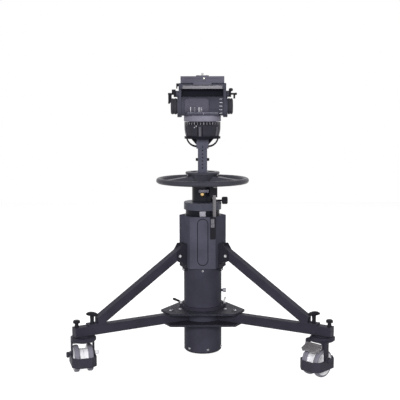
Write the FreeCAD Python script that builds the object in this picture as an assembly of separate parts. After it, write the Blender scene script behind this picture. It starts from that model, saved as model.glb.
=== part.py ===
import FreeCAD, Part
import math
import os

V = FreeCAD.Vector

# Clearances and the length by which cutting tools run past a face
slide_gap = 0.3
fit_gap = 0.08
overrun = 1.0

# Casters, from the floor up
swivel_r = 503.0
trail = 32.0
wheel_r = 50.0
tyre_t = 8.0
hub_r = wheel_r - tyre_t
wheel_w = 19.0
wheel_apart = 31.0
wheel_core_r = 35.0
wheel_side = (wheel_apart + wheel_w) / 2
axle_r = 6.0
leg_room = 3.0
leg_in = wheel_side + wheel_w / 2 + leg_room
leg_t = 5.0
leg_w = 24.0
fork_h = 43.0
crown_r = 45.5
crown_t = 16.0
crown_gap = 3.0
race_r = 24.0
king_r = 9.0
king_up = 30.0
guard_wall = 2.5
guard_bottom = 28.0
guard_h = 37.0
guard_back_room = 12.0
guard_back = wheel_r - trail + guard_back_room
guard_front_room = 10.0
guard_front = trail + wheel_r + guard_front_room
guard_cut = 20.0
guard_screw_up = 1.0
guard_screw_z = guard_bottom + guard_h + guard_screw_up
guard_knob_r = 10.5
guard_knob_len = 15.0
guard_stub_r = 6.5
guard_stub_len = 13.0
pedal_up = 14.0
pedal_z = wheel_r * 2 + pedal_up
pedal_pin_r = 4.0
pedal_room = 5.0
pedal_half = leg_in - pedal_room
pedal_t = 3.0
pedal_reach = 12.0
pedal_out = trail + wheel_r + pedal_reach
pedal_drop = 11.0

# Column tube, its cap and the inner column
arm_bottom = wheel_r * 2 + fork_h
tube_r = 74.0
tube_wall = 4.0
tube_drop = 123.0
tube_bottom = arm_bottom - tube_drop
tube_len = 533.0
tube_top = tube_bottom + tube_len
tube_in = tube_r - tube_wall
cap_flange = 6.0
cap_plug = 22.0
plug_stud_up = 232.0
plug_stud_z = tube_bottom + plug_stud_up
column_room = 33.0
column_r = tube_r - column_room
column_wall = 4.0
column_foot_up = 90.0
column_bottom = tube_bottom + column_foot_up

# Six-sided sleeve round the tube
sleeve_front_room = 4.0
sleeve_front = tube_r + sleeve_front_room
sleeve_back_room = 7.5
sleeve_back = tube_r + sleeve_back_room
sleeve_wall = 3.0
sleeve_h = 201.0
sleeve_bottom = tube_top - sleeve_h
sleeve_corner = 8.0
panel_w = 40.0
panel_low = 14.0
panel_bottom = sleeve_bottom + panel_low
panel_high = 7.0
panel_top = tube_top - panel_high
panel_line = 1.4

# Base plates, arms and their bolts
plate_t = 8.0
plate_room = 44.0
plate_long = tube_r + plate_room
arm_w = 35.0
half_arm = arm_w / 2
arm_top = arm_bottom + arm_w
plate_low = arm_bottom - plate_t
plate_top = arm_top + plate_t
arm_gap = 3.0
arm_start = tube_r + arm_gap
arm_past = 37.0
arm_end = swivel_r + arm_past
arm_wall = 3.0
arm_block = 88.0
arm_edge = 2.5
bolt_r = 5.0
bolt_head_r = 8.0
bolt_head = 5.0
bolt_tail = 3.0
hinge_bolt_r = 4.0
hinge_head_r = 6.0
bolt_room = 25.0
bolt_in = tube_r + bolt_room
bolt_pitch = 42.0
bolt_out = bolt_in + bolt_pitch
plate_edge = 25.5
plate_arm = bolt_out + plate_edge
screw_r = 3.0
screw_head_r = 5.0
screw_head = 3.0
screw_len = 4.0
cap_screw_z = tube_bottom + cap_plug / 2
sleeve_screw_z = sleeve_bottom - screw_head_r - screw_head

# Tee knobs and direction lock knobs on the arms
tee_back = 34.0
tee_at = swivel_r - tee_back
tee_h = 43.0
tee_half = 25.0
tee_r = 9.0
tee_stem_r = 8.0
tee_head = 17.0
tee_pin_r = 4.0
tee_pin_len = 12.0
lock_past = 26.0
lock_at = swivel_r + lock_past
lock_r = 12.5
lock_h = 26.0
lock_pin_r = 4.0
lock_pin_len = 16.0

# Braces and the brackets that hold them on the sleeve
brace_w = 33.0
brace_wall = 2.5
brace_gap = 0.5
cheek_t = 4.5
foot_t = 6.0
foot_past = 18.0
foot_out = tee_at + foot_past
foot_back = 51.0
foot_in = tee_at - foot_back
brace_back = 43.0
brace_low_r = tee_at - brace_back
brace_low_up = 24.0
brace_low_z = arm_top + brace_low_up
brace_room = 16.5
brace_start = sleeve_back + brace_room
brace_top_room = 35.5
brace_top_r = sleeve_back + brace_top_room
brace_top_up = 54.0
brace_top_z = sleeve_bottom + brace_top_up
brace_pin_room = 33.5
brace_pin_r = sleeve_back + brace_pin_room
brace_pin_up = 51.0
brace_pin_z = sleeve_bottom + brace_pin_up
bracket_half = brace_w / 2 + brace_gap + cheek_t
tab_face = sleeve_back + cheek_t

# Ring on the upper plate and its two clamp levers
hub_ring_w = 9.0
hub_ring_r = tube_r + hub_ring_w
hub_ring_h = 12.0
lever_at = hub_ring_r
lever_boss_r = 6.5
lever_r = 3.6
lever_len = 36.0
lever_rise = 9.0

# Collar, column brake and what stands on the inner column
neck_ring_in = 8.0
neck_ring_r = tube_r - neck_ring_in
neck_ring_h = 22.0
collar_z = tube_top + neck_ring_h
collar_in = 1.0
collar_r = tube_r - collar_in
collar_h = 30.0
collar_top = collar_z + collar_h
collar_spigot = 22.0
badge_w = 24.0
lug_room = 2.0
lug_in = column_r + lug_room
lug_w = 12.0
lug_h = 8.0
brake_up = 4.0
brake_z = collar_top + brake_up
brake_stem_r = 3.5
brake_start = column_r + slide_gap * 2
brake_room = 2.0
brake_in = collar_r + brake_room
brake_len = 23.0
brake_out = brake_in + brake_len
brake_r = 14.0
column_show = 59.0
column_top = collar_top + column_show
bracket_up = 23.0
bracket_z = collar_top + bracket_up
label_up = 15.0
valve_up = 21.0
valve_z = collar_top + valve_up
valve_r = 7.5
valve_h = 17.0
scale_w = 12.0
scale_t = 2.5
scale_in = 2.0
scale_x = column_r - scale_in
scale_room = 1.6
scale_y = math.sqrt(tube_r ** 2 - scale_x ** 2) + scale_room
scale_low = 10.0
scale_bottom = sleeve_bottom + scale_low
scale_grip = 8.0
scale_top = bracket_z + scale_grip
scale_block_h = 83.0
scale_block_z = tube_top - scale_block_h
block_out = 8.0

# Steering ring and neck post
ring_r = 170.0
ring_tube = 10.4
ring_up = 24.0
ring_z = column_top + ring_up
hub_h = 58.0
hub_top = column_top + hub_h
hub_flange_r = 66.5
hub_flange_t = 7.0
hub_low_room = 3.0
hub_low_r = column_r + hub_low_room
spoke_w = 32.0
spoke_low = 12.0
spoke_high = 20.0
post_w = 36.0
post_h = 90.0
post_top = hub_top + post_h
block_w = 47.0
block_h = 45.0
block_top = post_top + block_h
hole_r = 2.6
hole_pitch = 13.5
hole_up = 6.0
hole_top = post_top + hole_up
pin_up = 47.0
pin_z = hub_top + pin_up
pin_knob_r = 6.0

# Bowl ring and half ball
bowl_r = 69.5
bowl_under = 7.0
bowl_bottom = block_top - bowl_under
bowl_over = 2.0
bowl_top = block_top + bowl_over
flare_up = 8.0
flare_z = post_top + flare_up
flare_back = 10.0
strut_t = 6.0
strut_w = 14.0
ball_h = 43.0
ball_top = bowl_top + ball_h
ball_low_r = 63.5
strap_w = 14.0
strap_out = 1.6

# Fluid head, from the pan drag ring to the drum
pan_drag_r = 69.5
pan_bush_r = 52.0
drag_ring_h = 12.0
drag_ring_gap = 1.5
tick_count = 36
tick_turn = 4
tick_d = 1.5
tick_w = 3.4
head_r = 71.5
base_bottom = ball_top + drag_ring_h + drag_ring_gap
base_h = 22.5
base_top = base_bottom + base_h
foot_h = 14.0
foot_top = base_top + foot_h
foot_half = 63.0
tilt_up = 22.0
tilt_z = foot_top + tilt_up
drum_r = 44.0
drum_half = 79.5
panel_t = 4.0
panel_left = 68.0
panel_right = 25.0
panel_half_z = 30.0
bar_t = 1.2
bar_x = 64.0
bar_len = 12.0
bar_first = -36
bar_step = 18

# Tilt frame, knobs and camera plate
cheek_gap = 0.5
cheek_in = drum_half + cheek_gap
cheek_w = 16.0
cheek_out = cheek_in + cheek_w
cheek_under = 2.0
cheek_r = drum_r - cheek_under
web_w = 10.0
web_out = cheek_in + web_w
frame_w = 7.5
frame_half = cheek_in + frame_w
frame_up = 20.0
frame_bottom = tilt_z + drum_r + frame_up
frame_h = 22.0
frame_top = frame_bottom + frame_h
frame_depth = 62.0
saddle_half = 34.0
saddle_drop = 26.0
saddle_gap = 5.5
strip_in = 12.5
strip_half = frame_half - strip_in
strip_t = 5.0
strip_h = 13.0
journal_r = 12.0
knob_r = 31.0
knob_in = cheek_out + cheek_gap
knob_len = 20.5
knob_len_left = 25.0
knob_out = knob_in + knob_len
journal_len = 13.5
journal_end = knob_in + journal_len
flute_count = 24
rosette_r = 12.0
rosette_t = 4.0
rosette_y = -10.0
rosette_up = 47.0
rosette_z = tilt_z + rosette_up
clamp_pin_r = 4.0
clamp_pin_in = 8.0
clamp_disc_t = 10.0
clamp_bar_r = 3.6
clamp_reach = 32.0
clamp_out = cheek_out + clamp_reach
clamp_knob_r = 8.0
clamp_drop_right = 18.0
clamp_drop_left = 34.0
tongue_half = 34.0
tongue_h = 8.0
cam_in = 5.5
cam_half = frame_half - cam_in
cam_past = 13.0
cam_depth = frame_depth + cam_past
cam_h = 25.0
cam_top = frame_top + cam_h
cam_gap = 0.3
camera_screw_r = 4.76
camera_screw_h = 12.0
screw_shank_r = 3.8
thread_gap = 0.6
plate_lever_in = 20.0
plate_lever_y = plate_lever_in - frame_depth
plate_lever_down = 6.0
plate_lever_z = frame_top - plate_lever_down
plate_lever_w = 9.0
plate_lever_len = 14.0
window_half = 65.0
pad_half = 24.0
pad_t = 3.0
level_r = 4.0
level_x = 6.0
level_out = 2.5

arm_angles = {1: 210, 2: 330, 3: 90}
trail_angles = {1: 107, 2: 225, 3: 62}
hinge_turn = {210: 90, 330: -90, 90: 90}
tee_turn = {1: 35, 2: -35, 3: 35}
sixth = 60
nodes = {}


def box(x0, x1, y0, y1, z0, z1):
    return Part.makeBox(x1 - x0, y1 - y0, z1 - z0, V(x0, y0, z0))


def rod(r, start, end):
    """Round bar from one point to another."""
    a, b = V(*start), V(*end)
    return Part.makeCylinder(r, (b - a).Length, a, b - a)


def pipe(outer, inner, z0, z1):
    ring = rod(outer, (0, 0, z0), (0, 0, z1))
    return ring.cut(rod(inner, (0, 0, z0 - overrun), (0, 0, z1 + overrun)))


def lathe(profile, axis=V(0, 0, 1), at=V(0, 0, 0)):
    """Turned piece from a closed (radius, height) outline, laid along the axis."""
    wire = Part.makePolygon([V(r, 0, z) for r, z in profile + profile[:1]])
    body = Part.Face(wire).revolve(V(0, 0, 0), V(0, 0, 1), 360)
    body.Placement = FreeCAD.Placement(at, FreeCAD.Rotation(V(0, 0, 1), axis))
    return body


def prism(points, z0, z1):
    """Upright prism over a plan outline."""
    wire = Part.makePolygon([V(x, y, z0) for x, y in points + points[:1]])
    return Part.Face(wire).extrude(V(0, 0, z1 - z0))


def side_prism(points, y0, y1):
    """Prism over an (x, z) outline, between two y planes."""
    wire = Part.makePolygon([V(x, y0, z) for x, z in points + points[:1]])
    return Part.Face(wire).extrude(V(0, y1 - y0, 0))


def end_prism(points, x0, x1):
    """Prism over a (y, z) outline, between two x planes."""
    wire = Part.makePolygon([V(x0, y, z) for y, z in points + points[:1]])
    return Part.Face(wire).extrude(V(x1 - x0, 0, 0))


def turned(shape, angle, x=0, y=0):
    copy = shape.copy()
    copy.rotate(V(x, y, 0), V(0, 0, 1), angle)
    return copy


def fused(first, *others):
    return first.fuse(list(others)).removeSplitter()


def softened(shape, radius, pick):
    """Rounds the edges that the test picks."""
    edges = [e for e in shape.Edges if pick(e)]
    return shape.makeFillet(radius, edges)


def upright(edge):
    a, b = edge.Vertexes[0].Point, edge.Vertexes[-1].Point
    return abs(a.x - b.x) + abs(a.y - b.y) < fit_gap and abs(a.z - b.z) > fit_gap


def lengthwise(edge):
    a, b = edge.Vertexes[0].Point, edge.Vertexes[-1].Point
    return abs(a.z - b.z) + abs(a.y - b.y) < fit_gap and abs(a.x - b.x) > fit_gap


def put(name, *solids):
    shape = solids[0] if len(solids) == 1 else Part.makeCompound(list(solids))
    nodes[name] = shape


def six_sides(front, back):
    """Plan outline with faces at the front, 30 and 150 degrees nearer than the three between them."""
    faces = [(270, front), (330, back), (30, front), (90, back), (150, front), (210, back)]
    points = []
    for (a0, d0), (a1, d1) in zip(faces, faces[1:] + faces[:1]):
        c0, s0 = math.cos(math.radians(a0)), math.sin(math.radians(a0))
        c1, s1 = math.cos(math.radians(a1)), math.sin(math.radians(a1))
        det = c0 * s1 - s0 * c1
        points.append(((d0 * s1 - d1 * s0) / det, (c0 * d1 - c1 * d0) / det))
    return points


def column():
    tube = pipe(tube_r, tube_in, tube_bottom, tube_top)
    plug_x = tube_r + bolt_head
    plug_neck = rod(screw_head_r, (tube_r - tube_wall / 2, 0, plug_stud_z), (plug_x, 0, plug_stud_z))
    plug_cap = rod(bolt_head_r, (plug_x, 0, plug_stud_z), (plug_x + bolt_head * 2.6, 0, plug_stud_z))
    put("column_tube", fused(tube, plug_neck, plug_cap))
    edge = cap_flange * 0.8
    cap = lathe([(0, tube_bottom - cap_flange), (tube_r - edge, tube_bottom - cap_flange),
                 (tube_r, tube_bottom - cap_flange + edge), (tube_r, tube_bottom),
                 (tube_in, tube_bottom), (tube_in, tube_bottom + cap_plug), (0, tube_bottom + cap_plug)])
    put("column_cap", cap)


def button_screw(x, y, z, angle):
    """Button-head screw pointing to the column axis, its head on the tube wall."""
    out = V(math.cos(math.radians(angle)), math.sin(math.radians(angle)), 0)
    profile = [(0, -screw_len), (screw_r, -screw_len), (screw_r, 0), (screw_head_r, 0),
               (screw_head_r * 0.7, screw_head), (0, screw_head)]
    return lathe(profile, out, V(x, y, z))


def screw_ring(radius, z, angles):
    return [button_screw(radius * math.cos(math.radians(a)), radius * math.sin(math.radians(a)), z, a)
            for a in angles]


def screw_holes(shape, radius, z, angles):
    for a in angles:
        out = V(math.cos(math.radians(a)), math.sin(math.radians(a)), 0)
        hole = Part.makeCylinder(screw_r, screw_len + overrun, out * (radius - screw_len) + V(0, 0, z), out)
        shape = shape.cut(hole)
    return shape


def body_screws():
    """Alike small screws: round the tube foot, below the sleeve and in the bracket tabs."""
    foot_angles = [225 + sixth * k for k in range(6)]
    sleeve_angles = [270, 30, 150]
    tab_angles = list(arm_angles.values())
    nodes["column_tube"] = screw_holes(nodes["column_tube"], tube_r, cap_screw_z, foot_angles)
    nodes["column_tube"] = screw_holes(nodes["column_tube"], tube_r, sleeve_screw_z, sleeve_angles)
    nodes["brace_brackets"] = Part.makeCompound(
        [screw_holes(s, tab_face, sleeve_screw_z, tab_angles) for s in nodes["brace_brackets"].Solids])
    solids = screw_ring(tube_r, cap_screw_z, foot_angles)
    solids += screw_ring(tube_r, sleeve_screw_z, sleeve_angles)
    solids += screw_ring(tab_face, sleeve_screw_z, tab_angles)
    put("body_screws", *solids)


def stadium(width, z0, z1, y0, y1):
    r = width / 2
    middle = box(-r, r, y0, y1, z0 + r, z1 - r)
    return middle.fuse([rod(r, (0, y0, z0 + r), (0, y1, z0 + r)), rod(r, (0, y0, z1 - r), (0, y1, z1 - r))])


def sleeve():
    outer = prism(six_sides(sleeve_front, sleeve_back), sleeve_bottom, tube_top)
    outer = softened(outer, sleeve_corner, upright)
    inner = prism(six_sides(sleeve_front - sleeve_wall, sleeve_back - sleeve_wall),
                  sleeve_bottom + sleeve_wall, tube_top - sleeve_wall)
    inner = softened(inner, sleeve_corner - sleeve_wall, upright)
    shell = outer.cut(inner).cut(rod(tube_r, (0, 0, sleeve_bottom - overrun), (0, 0, tube_top + overrun)))
    line = stadium(panel_w, panel_bottom, panel_top, -sleeve_front - overrun,
                   -sleeve_front + sleeve_wall / 2)
    land = stadium(panel_w - panel_line * 2, panel_bottom + panel_line, panel_top - panel_line,
                   -sleeve_front - overrun, -sleeve_front + sleeve_wall / 2)
    shell = shell.cut(line.cut(land))
    slot = box(scale_x - slide_gap * 2, scale_x + scale_w + slide_gap * 2,
               -scale_y - scale_t - slide_gap * 2,
               -scale_y + slide_gap * 2, scale_bottom, tube_top + overrun)
    put("sleeve", shell.cut(slot))


def plate(z0):
    """Six-sided plate with short edges square to the arms, round the tube."""
    blank = prism(six_sides(plate_long, plate_arm), z0, z0 + plate_t)
    blank = softened(blank, plate_t, upright)
    hole = rod(tube_r, (0, 0, z0 - overrun), (0, 0, z0 + plate_t + overrun))
    return blank.cut(hole)


def plates():
    lower = plate(plate_low)
    upper = plate(arm_top)
    for angle in arm_angles.values():
        for r in (bolt_in, bolt_out):
            hole = rod(bolt_r + fit_gap, (r, 0, plate_low - overrun), (r, 0, plate_top + overrun))
            hole = turned(hole, angle)
            lower = lower.cut(hole)
            upper = upper.cut(hole)
    put("base_plate_lower", lower)
    put("base_plate_upper", upper)


def bolt(grip, shank_r, head_r):
    """Bolt with a domed head up and a nut below, its shank along z with the head seated at zero."""
    head = lathe([(0, 0), (head_r, 0), (head_r, bolt_head * 0.5), (head_r * 0.6, bolt_head), (0, bolt_head)])
    shank = rod(shank_r, (0, 0, -grip - bolt_head - bolt_tail), (0, 0, 0))
    corners = [(head_r * math.cos(math.radians(sixth * k)), head_r * math.sin(math.radians(sixth * k)))
               for k in range(6)]
    nut = prism(corners, -grip - bolt_head, -grip)
    return fused(head, shank, nut)


def frame_bolts():
    """Two bolts through each arm and one across each brace head."""
    solids = []
    for angle in arm_angles.values():
        for r in (bolt_in, bolt_out):
            clamp = bolt(arm_w + plate_t * 2, bolt_r, bolt_head_r)
            clamp.translate(V(r, 0, plate_top))
            solids.append(turned(clamp, angle))
        hinge = bolt(bracket_half * 2, hinge_bolt_r, hinge_head_r)
        hinge.rotate(V(0, 0, 0), V(1, 0, 0), hinge_turn[angle])
        side = -bracket_half if hinge_turn[angle] > 0 else bracket_half
        hinge.translate(V(brace_pin_r, side, brace_pin_z))
        solids.append(turned(hinge, angle))
    put("frame_bolts", *solids)


def arms():
    for i, angle in arm_angles.items():
        outer = box(arm_start, arm_end, -half_arm, half_arm, arm_bottom, arm_top)
        outer = softened(outer, arm_edge, lengthwise)
        hollow = box(arm_start - overrun, arm_end - arm_block, -half_arm + arm_wall, half_arm - arm_wall,
                     arm_bottom + arm_wall, arm_top - arm_wall)
        arm = outer.cut(hollow)
        low, high = arm_bottom + arm_w * 0.22, arm_top - arm_w * 0.22
        recess = [(arm_end - arm_block * 0.88, low), (arm_end - arm_wall * 3, low),
                  (arm_end - arm_wall * 3, high), (arm_end - arm_block * 0.74, high)]
        for y0 in (-half_arm - overrun, half_arm - arm_wall / 2):
            arm = arm.cut(side_prism(recess, y0, y0 + overrun + arm_wall / 2))
        for r in (bolt_in, bolt_out):
            arm = arm.cut(rod(bolt_r + fit_gap, (r, 0, arm_bottom - overrun), (r, 0, arm_top + overrun)))
        king_end = arm_bottom + king_up + slide_gap
        lock_end = arm_top - lock_pin_len - slide_gap
        tee_end = arm_top - tee_pin_len - slide_gap
        arm = arm.cut(rod(king_r + fit_gap, (swivel_r, 0, arm_bottom - overrun), (swivel_r, 0, king_end)))
        arm = arm.cut(rod(lock_pin_r + fit_gap, (lock_at, 0, lock_end), (lock_at, 0, arm_top + overrun)))
        arm = arm.cut(rod(tee_pin_r + fit_gap, (tee_at, 0, tee_end), (tee_at, 0, arm_top + overrun)))
        put(f"arm_{i}", turned(arm, angle))


def braces():
    run, fall = brace_low_r - brace_top_r, brace_top_z - brace_low_z
    length = math.hypot(run, fall)
    ux, uz = run / length, -fall / length
    half = brace_w / 2
    reach = length * 0.4
    for i, angle in arm_angles.items():
        start = (brace_top_r, brace_top_z)

        def outline(h):
            return [(start[0] - ux * reach - uz * h, start[1] - uz * reach + ux * h),
                    (start[0] + ux * (length + reach) - uz * h, start[1] + uz * (length + reach) + ux * h),
                    (start[0] + ux * (length + reach) + uz * h, start[1] + uz * (length + reach) - ux * h),
                    (start[0] - ux * reach + uz * h, start[1] - uz * reach - ux * h)]
        solid = side_prism(outline(half), -half, half)
        hollow = side_prism(outline(half - brace_wall), -half + brace_wall, half - brace_wall)
        room = box(brace_start, brace_low_r + brace_w * 0.75, -arm_w, arm_w, arm_top, tube_top)
        shoe = box(foot_in, foot_out, -half, half, arm_top, arm_top + foot_t)
        eye = rod(hinge_bolt_r + fit_gap, (brace_pin_r, -arm_w, brace_pin_z),
                  (brace_pin_r, arm_w, brace_pin_z))
        brace = fused(solid.cut(hollow).common(room), shoe)
        slot = rod(tee_pin_r + fit_gap, (tee_at, 0, arm_top - overrun),
                   (tee_at, 0, arm_top + foot_t + overrun))
        brace = brace.cut([eye, slot])
        put(f"brace_{i}", turned(brace, angle))


def brackets():
    solids = []
    half = brace_w / 2 + brace_gap
    low = brace_pin_z - brace_w * 1.1
    high = brace_pin_z + brace_w * 1.35
    nose = brace_pin_r + cheek_t * 2
    cheek = [(sleeve_back, low), (brace_start, low + cheek_t), (nose, brace_pin_z - cheek_t * 3),
             (nose, brace_pin_z + cheek_t * 2), (brace_start + cheek_t, high), (sleeve_back, high)]
    for angle in arm_angles.values():
        back = box(sleeve_back, sleeve_back + cheek_t, -half - cheek_t, half + cheek_t, sleeve_bottom, high)
        tab = box(tube_r, tab_face, -half * 0.6, half * 0.6, sleeve_bottom - brace_w * 0.4, sleeve_bottom)
        tab = tab.cut(rod(tube_r, (0, 0, 0), (0, 0, tube_top)))
        near = side_prism(cheek, -half - cheek_t, -half)
        far = side_prism(cheek, half, half + cheek_t)
        bridge = box(sleeve_back, brace_start - brace_gap, -half - cheek_t, half + cheek_t,
                     high - cheek_t * 2.2, high)
        hook = box(tube_r + cheek_t, tab_face, -half * 0.6, half * 0.6, sleeve_bottom - cheek_t,
                   sleeve_bottom)
        join = box(sleeve_back, tab_face, -half * 0.6, half * 0.6,
                   sleeve_bottom - cheek_t, sleeve_bottom + cheek_t)
        bracket = fused(back, tab, near, far, bridge, hook, join)
        eye = rod(hinge_bolt_r + fit_gap, (brace_pin_r, -arm_w, brace_pin_z),
                  (brace_pin_r, arm_w, brace_pin_z))
        solids.append(turned(bracket.cut(eye), angle))
    put("brace_brackets", *solids)


def tee_knobs():
    """Clamp screws at the brace feet, with domed cross handles."""
    base = arm_top + foot_t
    for i, angle in arm_angles.items():
        bar_z = base + tee_h
        h = tee_head
        dome = [(-tee_half, bar_z - h * 0.8), (-tee_half * 0.5, bar_z - h), (tee_half * 0.5, bar_z - h),
                (tee_half, bar_z - h * 0.8), (tee_half, bar_z - h * 0.45), (tee_half * 0.45, bar_z),
                (-tee_half * 0.45, bar_z), (-tee_half, bar_z - h * 0.45)]
        handle = end_prism(dome, tee_at - tee_r, tee_at + tee_r)
        handle = softened(handle, tee_r * 0.35, upright)
        stem = rod(tee_stem_r, (tee_at, 0, base + fit_gap), (tee_at, 0, bar_z - h / 2))
        screw = rod(tee_pin_r, (tee_at, 0, arm_top - tee_pin_len), (tee_at, 0, base + tee_h / 2))
        knob = fused(handle, stem, screw)
        put(f"tee_knob_{i}", turned(turned(knob, tee_turn[i], tee_at, 0), angle))


def lock_knobs():
    """Pull-up direction lock knobs at the arm ends."""
    for i, angle in arm_angles.items():
        profile = [(0, -lock_pin_len), (lock_pin_r, -lock_pin_len), (lock_pin_r, fit_gap),
                   (lock_r * 0.68, fit_gap), (lock_r * 0.5, lock_h / 2),
                   (lock_r, lock_h / 2 + lock_r * 0.2), (lock_r, lock_h - lock_r * 0.2),
                   (lock_r * 0.7, lock_h), (0, lock_h)]
        put(f"lock_knob_{i}", turned(lathe(profile, V(0, 0, 1), V(lock_at, 0, arm_top)), angle))


def place_caster(shape, i):
    """Turns a caster piece to its resting direction and moves it to its swivel axis."""
    copy = turned(shape, trail_angles[i])
    a = math.radians(arm_angles[i])
    copy.translate(V(swivel_r * math.cos(a), swivel_r * math.sin(a), 0))
    return copy


def fork():
    top = arm_bottom - crown_gap
    edge = crown_t * 0.25
    crown = lathe([(0, top - crown_t), (crown_r - edge, top - crown_t), (crown_r, top - crown_t + edge),
                   (crown_r, top - edge), (crown_r - edge, top), (race_r, top),
                   (race_r, arm_bottom - slide_gap), (king_r, arm_bottom - slide_gap),
                   (king_r, arm_bottom + king_up),
                   (0, arm_bottom + king_up)])
    parts = []
    for side in (-1, 1):
        y0, y1 = sorted((side * leg_in, side * (leg_in + leg_t)))
        leg = box(trail - leg_w / 2, trail + leg_w / 2, y0, y1, wheel_r - leg_w / 2, top - crown_t / 2)
        leg = softened(leg, leg_w * 0.45,
                       lambda e: e.CenterOfMass.z < wheel_r and abs(e.Length - leg_t) < fit_gap)
        parts.append(leg)
    bridge = box(trail - leg_w / 2, trail + leg_w / 2, -leg_in - leg_t, leg_in + leg_t,
                 top - crown_t, top - edge * 2)
    lug_x = trail + leg_w / 2
    axle = rod(axle_r, (trail, -leg_in - leg_t, wheel_r), (trail, leg_in + leg_t, wheel_r))
    eye = rod(pedal_pin_r, (lug_x + pedal_pin_r, -leg_in, pedal_z), (lug_x + pedal_pin_r, leg_in, pedal_z))
    lugs = [box(lug_x - leg_t, lug_x + pedal_pin_r * 2, y0, y0 + leg_t,
                pedal_z - pedal_pin_r * 2, top - crown_t / 2)
            for y0 in (-leg_in, leg_in - leg_t)]
    return fused(crown, *parts, bridge, axle, eye, *lugs)


def wheel_parts():
    """Tyres and wheel centres of one caster, both wheels."""
    tyres, hubs = [], []
    for side in (-1, 1):
        half = wheel_w / 2
        soft = half * 0.35
        tyre = [(hub_r, -half), (wheel_r - soft, -half), (wheel_r, -half + soft),
                (wheel_r, half - soft), (wheel_r - soft, half), (hub_r, half)]
        bore = axle_r + fit_gap
        core = slide_gap - wheel_side
        centre = [(bore, core), (wheel_core_r, core), (wheel_core_r, -half * 0.9), (hub_r, -half),
                  (hub_r, half), (hub_r * 0.9, half * 0.7), (bore * 2, half * 0.7),
                  (bore * 2, half * 1.2), (bore, half * 1.2)]
        at = V(trail, side * wheel_side, wheel_r)
        tyres.append(lathe(tyre, V(0, side, 0), at))
        hubs.append(lathe(centre, V(0, side, 0), at))
    return tyres, hubs


def guard():
    """Cable guard skirt round both wheels, with the thumb screw and stub that hold it on the fork legs."""
    half = leg_in + leg_t + guard_wall

    def plan(inset):
        x0, x1 = -guard_back + inset, guard_front - inset
        y = half - inset
        c = guard_cut - inset * 0.6
        return [(x0 + c, -y), (x1 - c, -y), (x1, -y + c), (x1, y - c),
                (x1 - c, y), (x0 + c, y), (x0, y - c), (x0, -y + c)]
    top = guard_bottom + guard_h
    skirt = prism(plan(0), guard_bottom, top)
    skirt = skirt.cut(prism(plan(guard_wall), guard_bottom - overrun, top + overrun))
    ears = []
    for side in (-1, 1):
        y0, y1 = sorted((side * (leg_in + leg_t), side * half))
        ears.append(box(trail - leg_w * 0.3, trail + leg_w * 0.3, y0, y1,
                        top - leg_w * 0.4, guard_screw_z + leg_w * 0.35))
    knob = lathe([(0, 0), (guard_knob_r * 0.45, 0), (guard_knob_r * 0.45, guard_knob_len * 0.3),
                  (guard_knob_r * 0.8, guard_knob_len * 0.3), (guard_knob_r, guard_knob_len * 0.45),
                  (guard_knob_r, guard_knob_len * 0.85), (guard_knob_r * 0.8, guard_knob_len),
                  (0, guard_knob_len)],
                 V(0, 1, 0), V(trail, half, guard_screw_z))
    stub = rod(guard_stub_r, (trail, -half, guard_screw_z),
               (trail, -half - guard_stub_len, guard_screw_z))
    return fused(skirt, *ears), knob, stub


def pedal():
    """Brake pedal with two toes, over the wheel tops."""
    x0 = trail + leg_w / 2 + pedal_pin_r
    x1 = pedal_out
    span = x1 - x0
    hub_side = pedal_z + pedal_pin_r * 1.8
    slope = [(x0 + pedal_pin_r * 0.5, hub_side), (x0 + pedal_pin_r * 0.5, hub_side - pedal_t * 2),
             (x1, pedal_z - pedal_drop - pedal_t), (x1, pedal_z - pedal_drop)]
    plate_body = side_prism(slope, -pedal_half, pedal_half)
    shape = [(x0 - pedal_pin_r, -pedal_half * 0.8), (x0 + span * 0.35, -pedal_half),
             (x0 + span * 0.75, -pedal_half),
             (x1, -pedal_half * 0.55), (x0 + span * 0.82, 0), (x1, pedal_half * 0.5),
             (x0 + span * 0.8, pedal_half), (x0 + span * 0.35, pedal_half),
             (x0 - pedal_pin_r, pedal_half * 0.8)]
    plate_body = plate_body.common(prism(shape, 0, arm_bottom))
    hub = rod(pedal_pin_r * 1.9, (x0, -pedal_half * 0.75, pedal_z), (x0, pedal_half * 0.75, pedal_z))
    shoes = []
    for side in (-1, 1):
        y0, y1 = sorted((side * (wheel_side - wheel_w * 0.4), side * (wheel_side + wheel_w * 0.4)))
        shoes.append(box(x0 + pedal_pin_r * 2.5, x0 + pedal_pin_r * 4.75, y0, y1,
                         pedal_z - pedal_pin_r * 4.25, pedal_z))
    body = fused(plate_body, hub, *shoes)
    return body.cut(rod(pedal_pin_r + fit_gap, (x0, -arm_w * 2, pedal_z), (x0, arm_w * 2, pedal_z)))


def casters():
    tyres, hubs = wheel_parts()
    for i in arm_angles:
        put(f"caster_fork_{i}", place_caster(fork(), i))
        put(f"caster_tyres_{i}", *[place_caster(s, i) for s in tyres])
        put(f"caster_hubs_{i}", *[place_caster(s, i) for s in hubs])
        put(f"caster_guard_{i}", *[place_caster(s, i) for s in guard()])
        put(f"brake_pedal_{i}", place_caster(pedal(), i))


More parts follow.
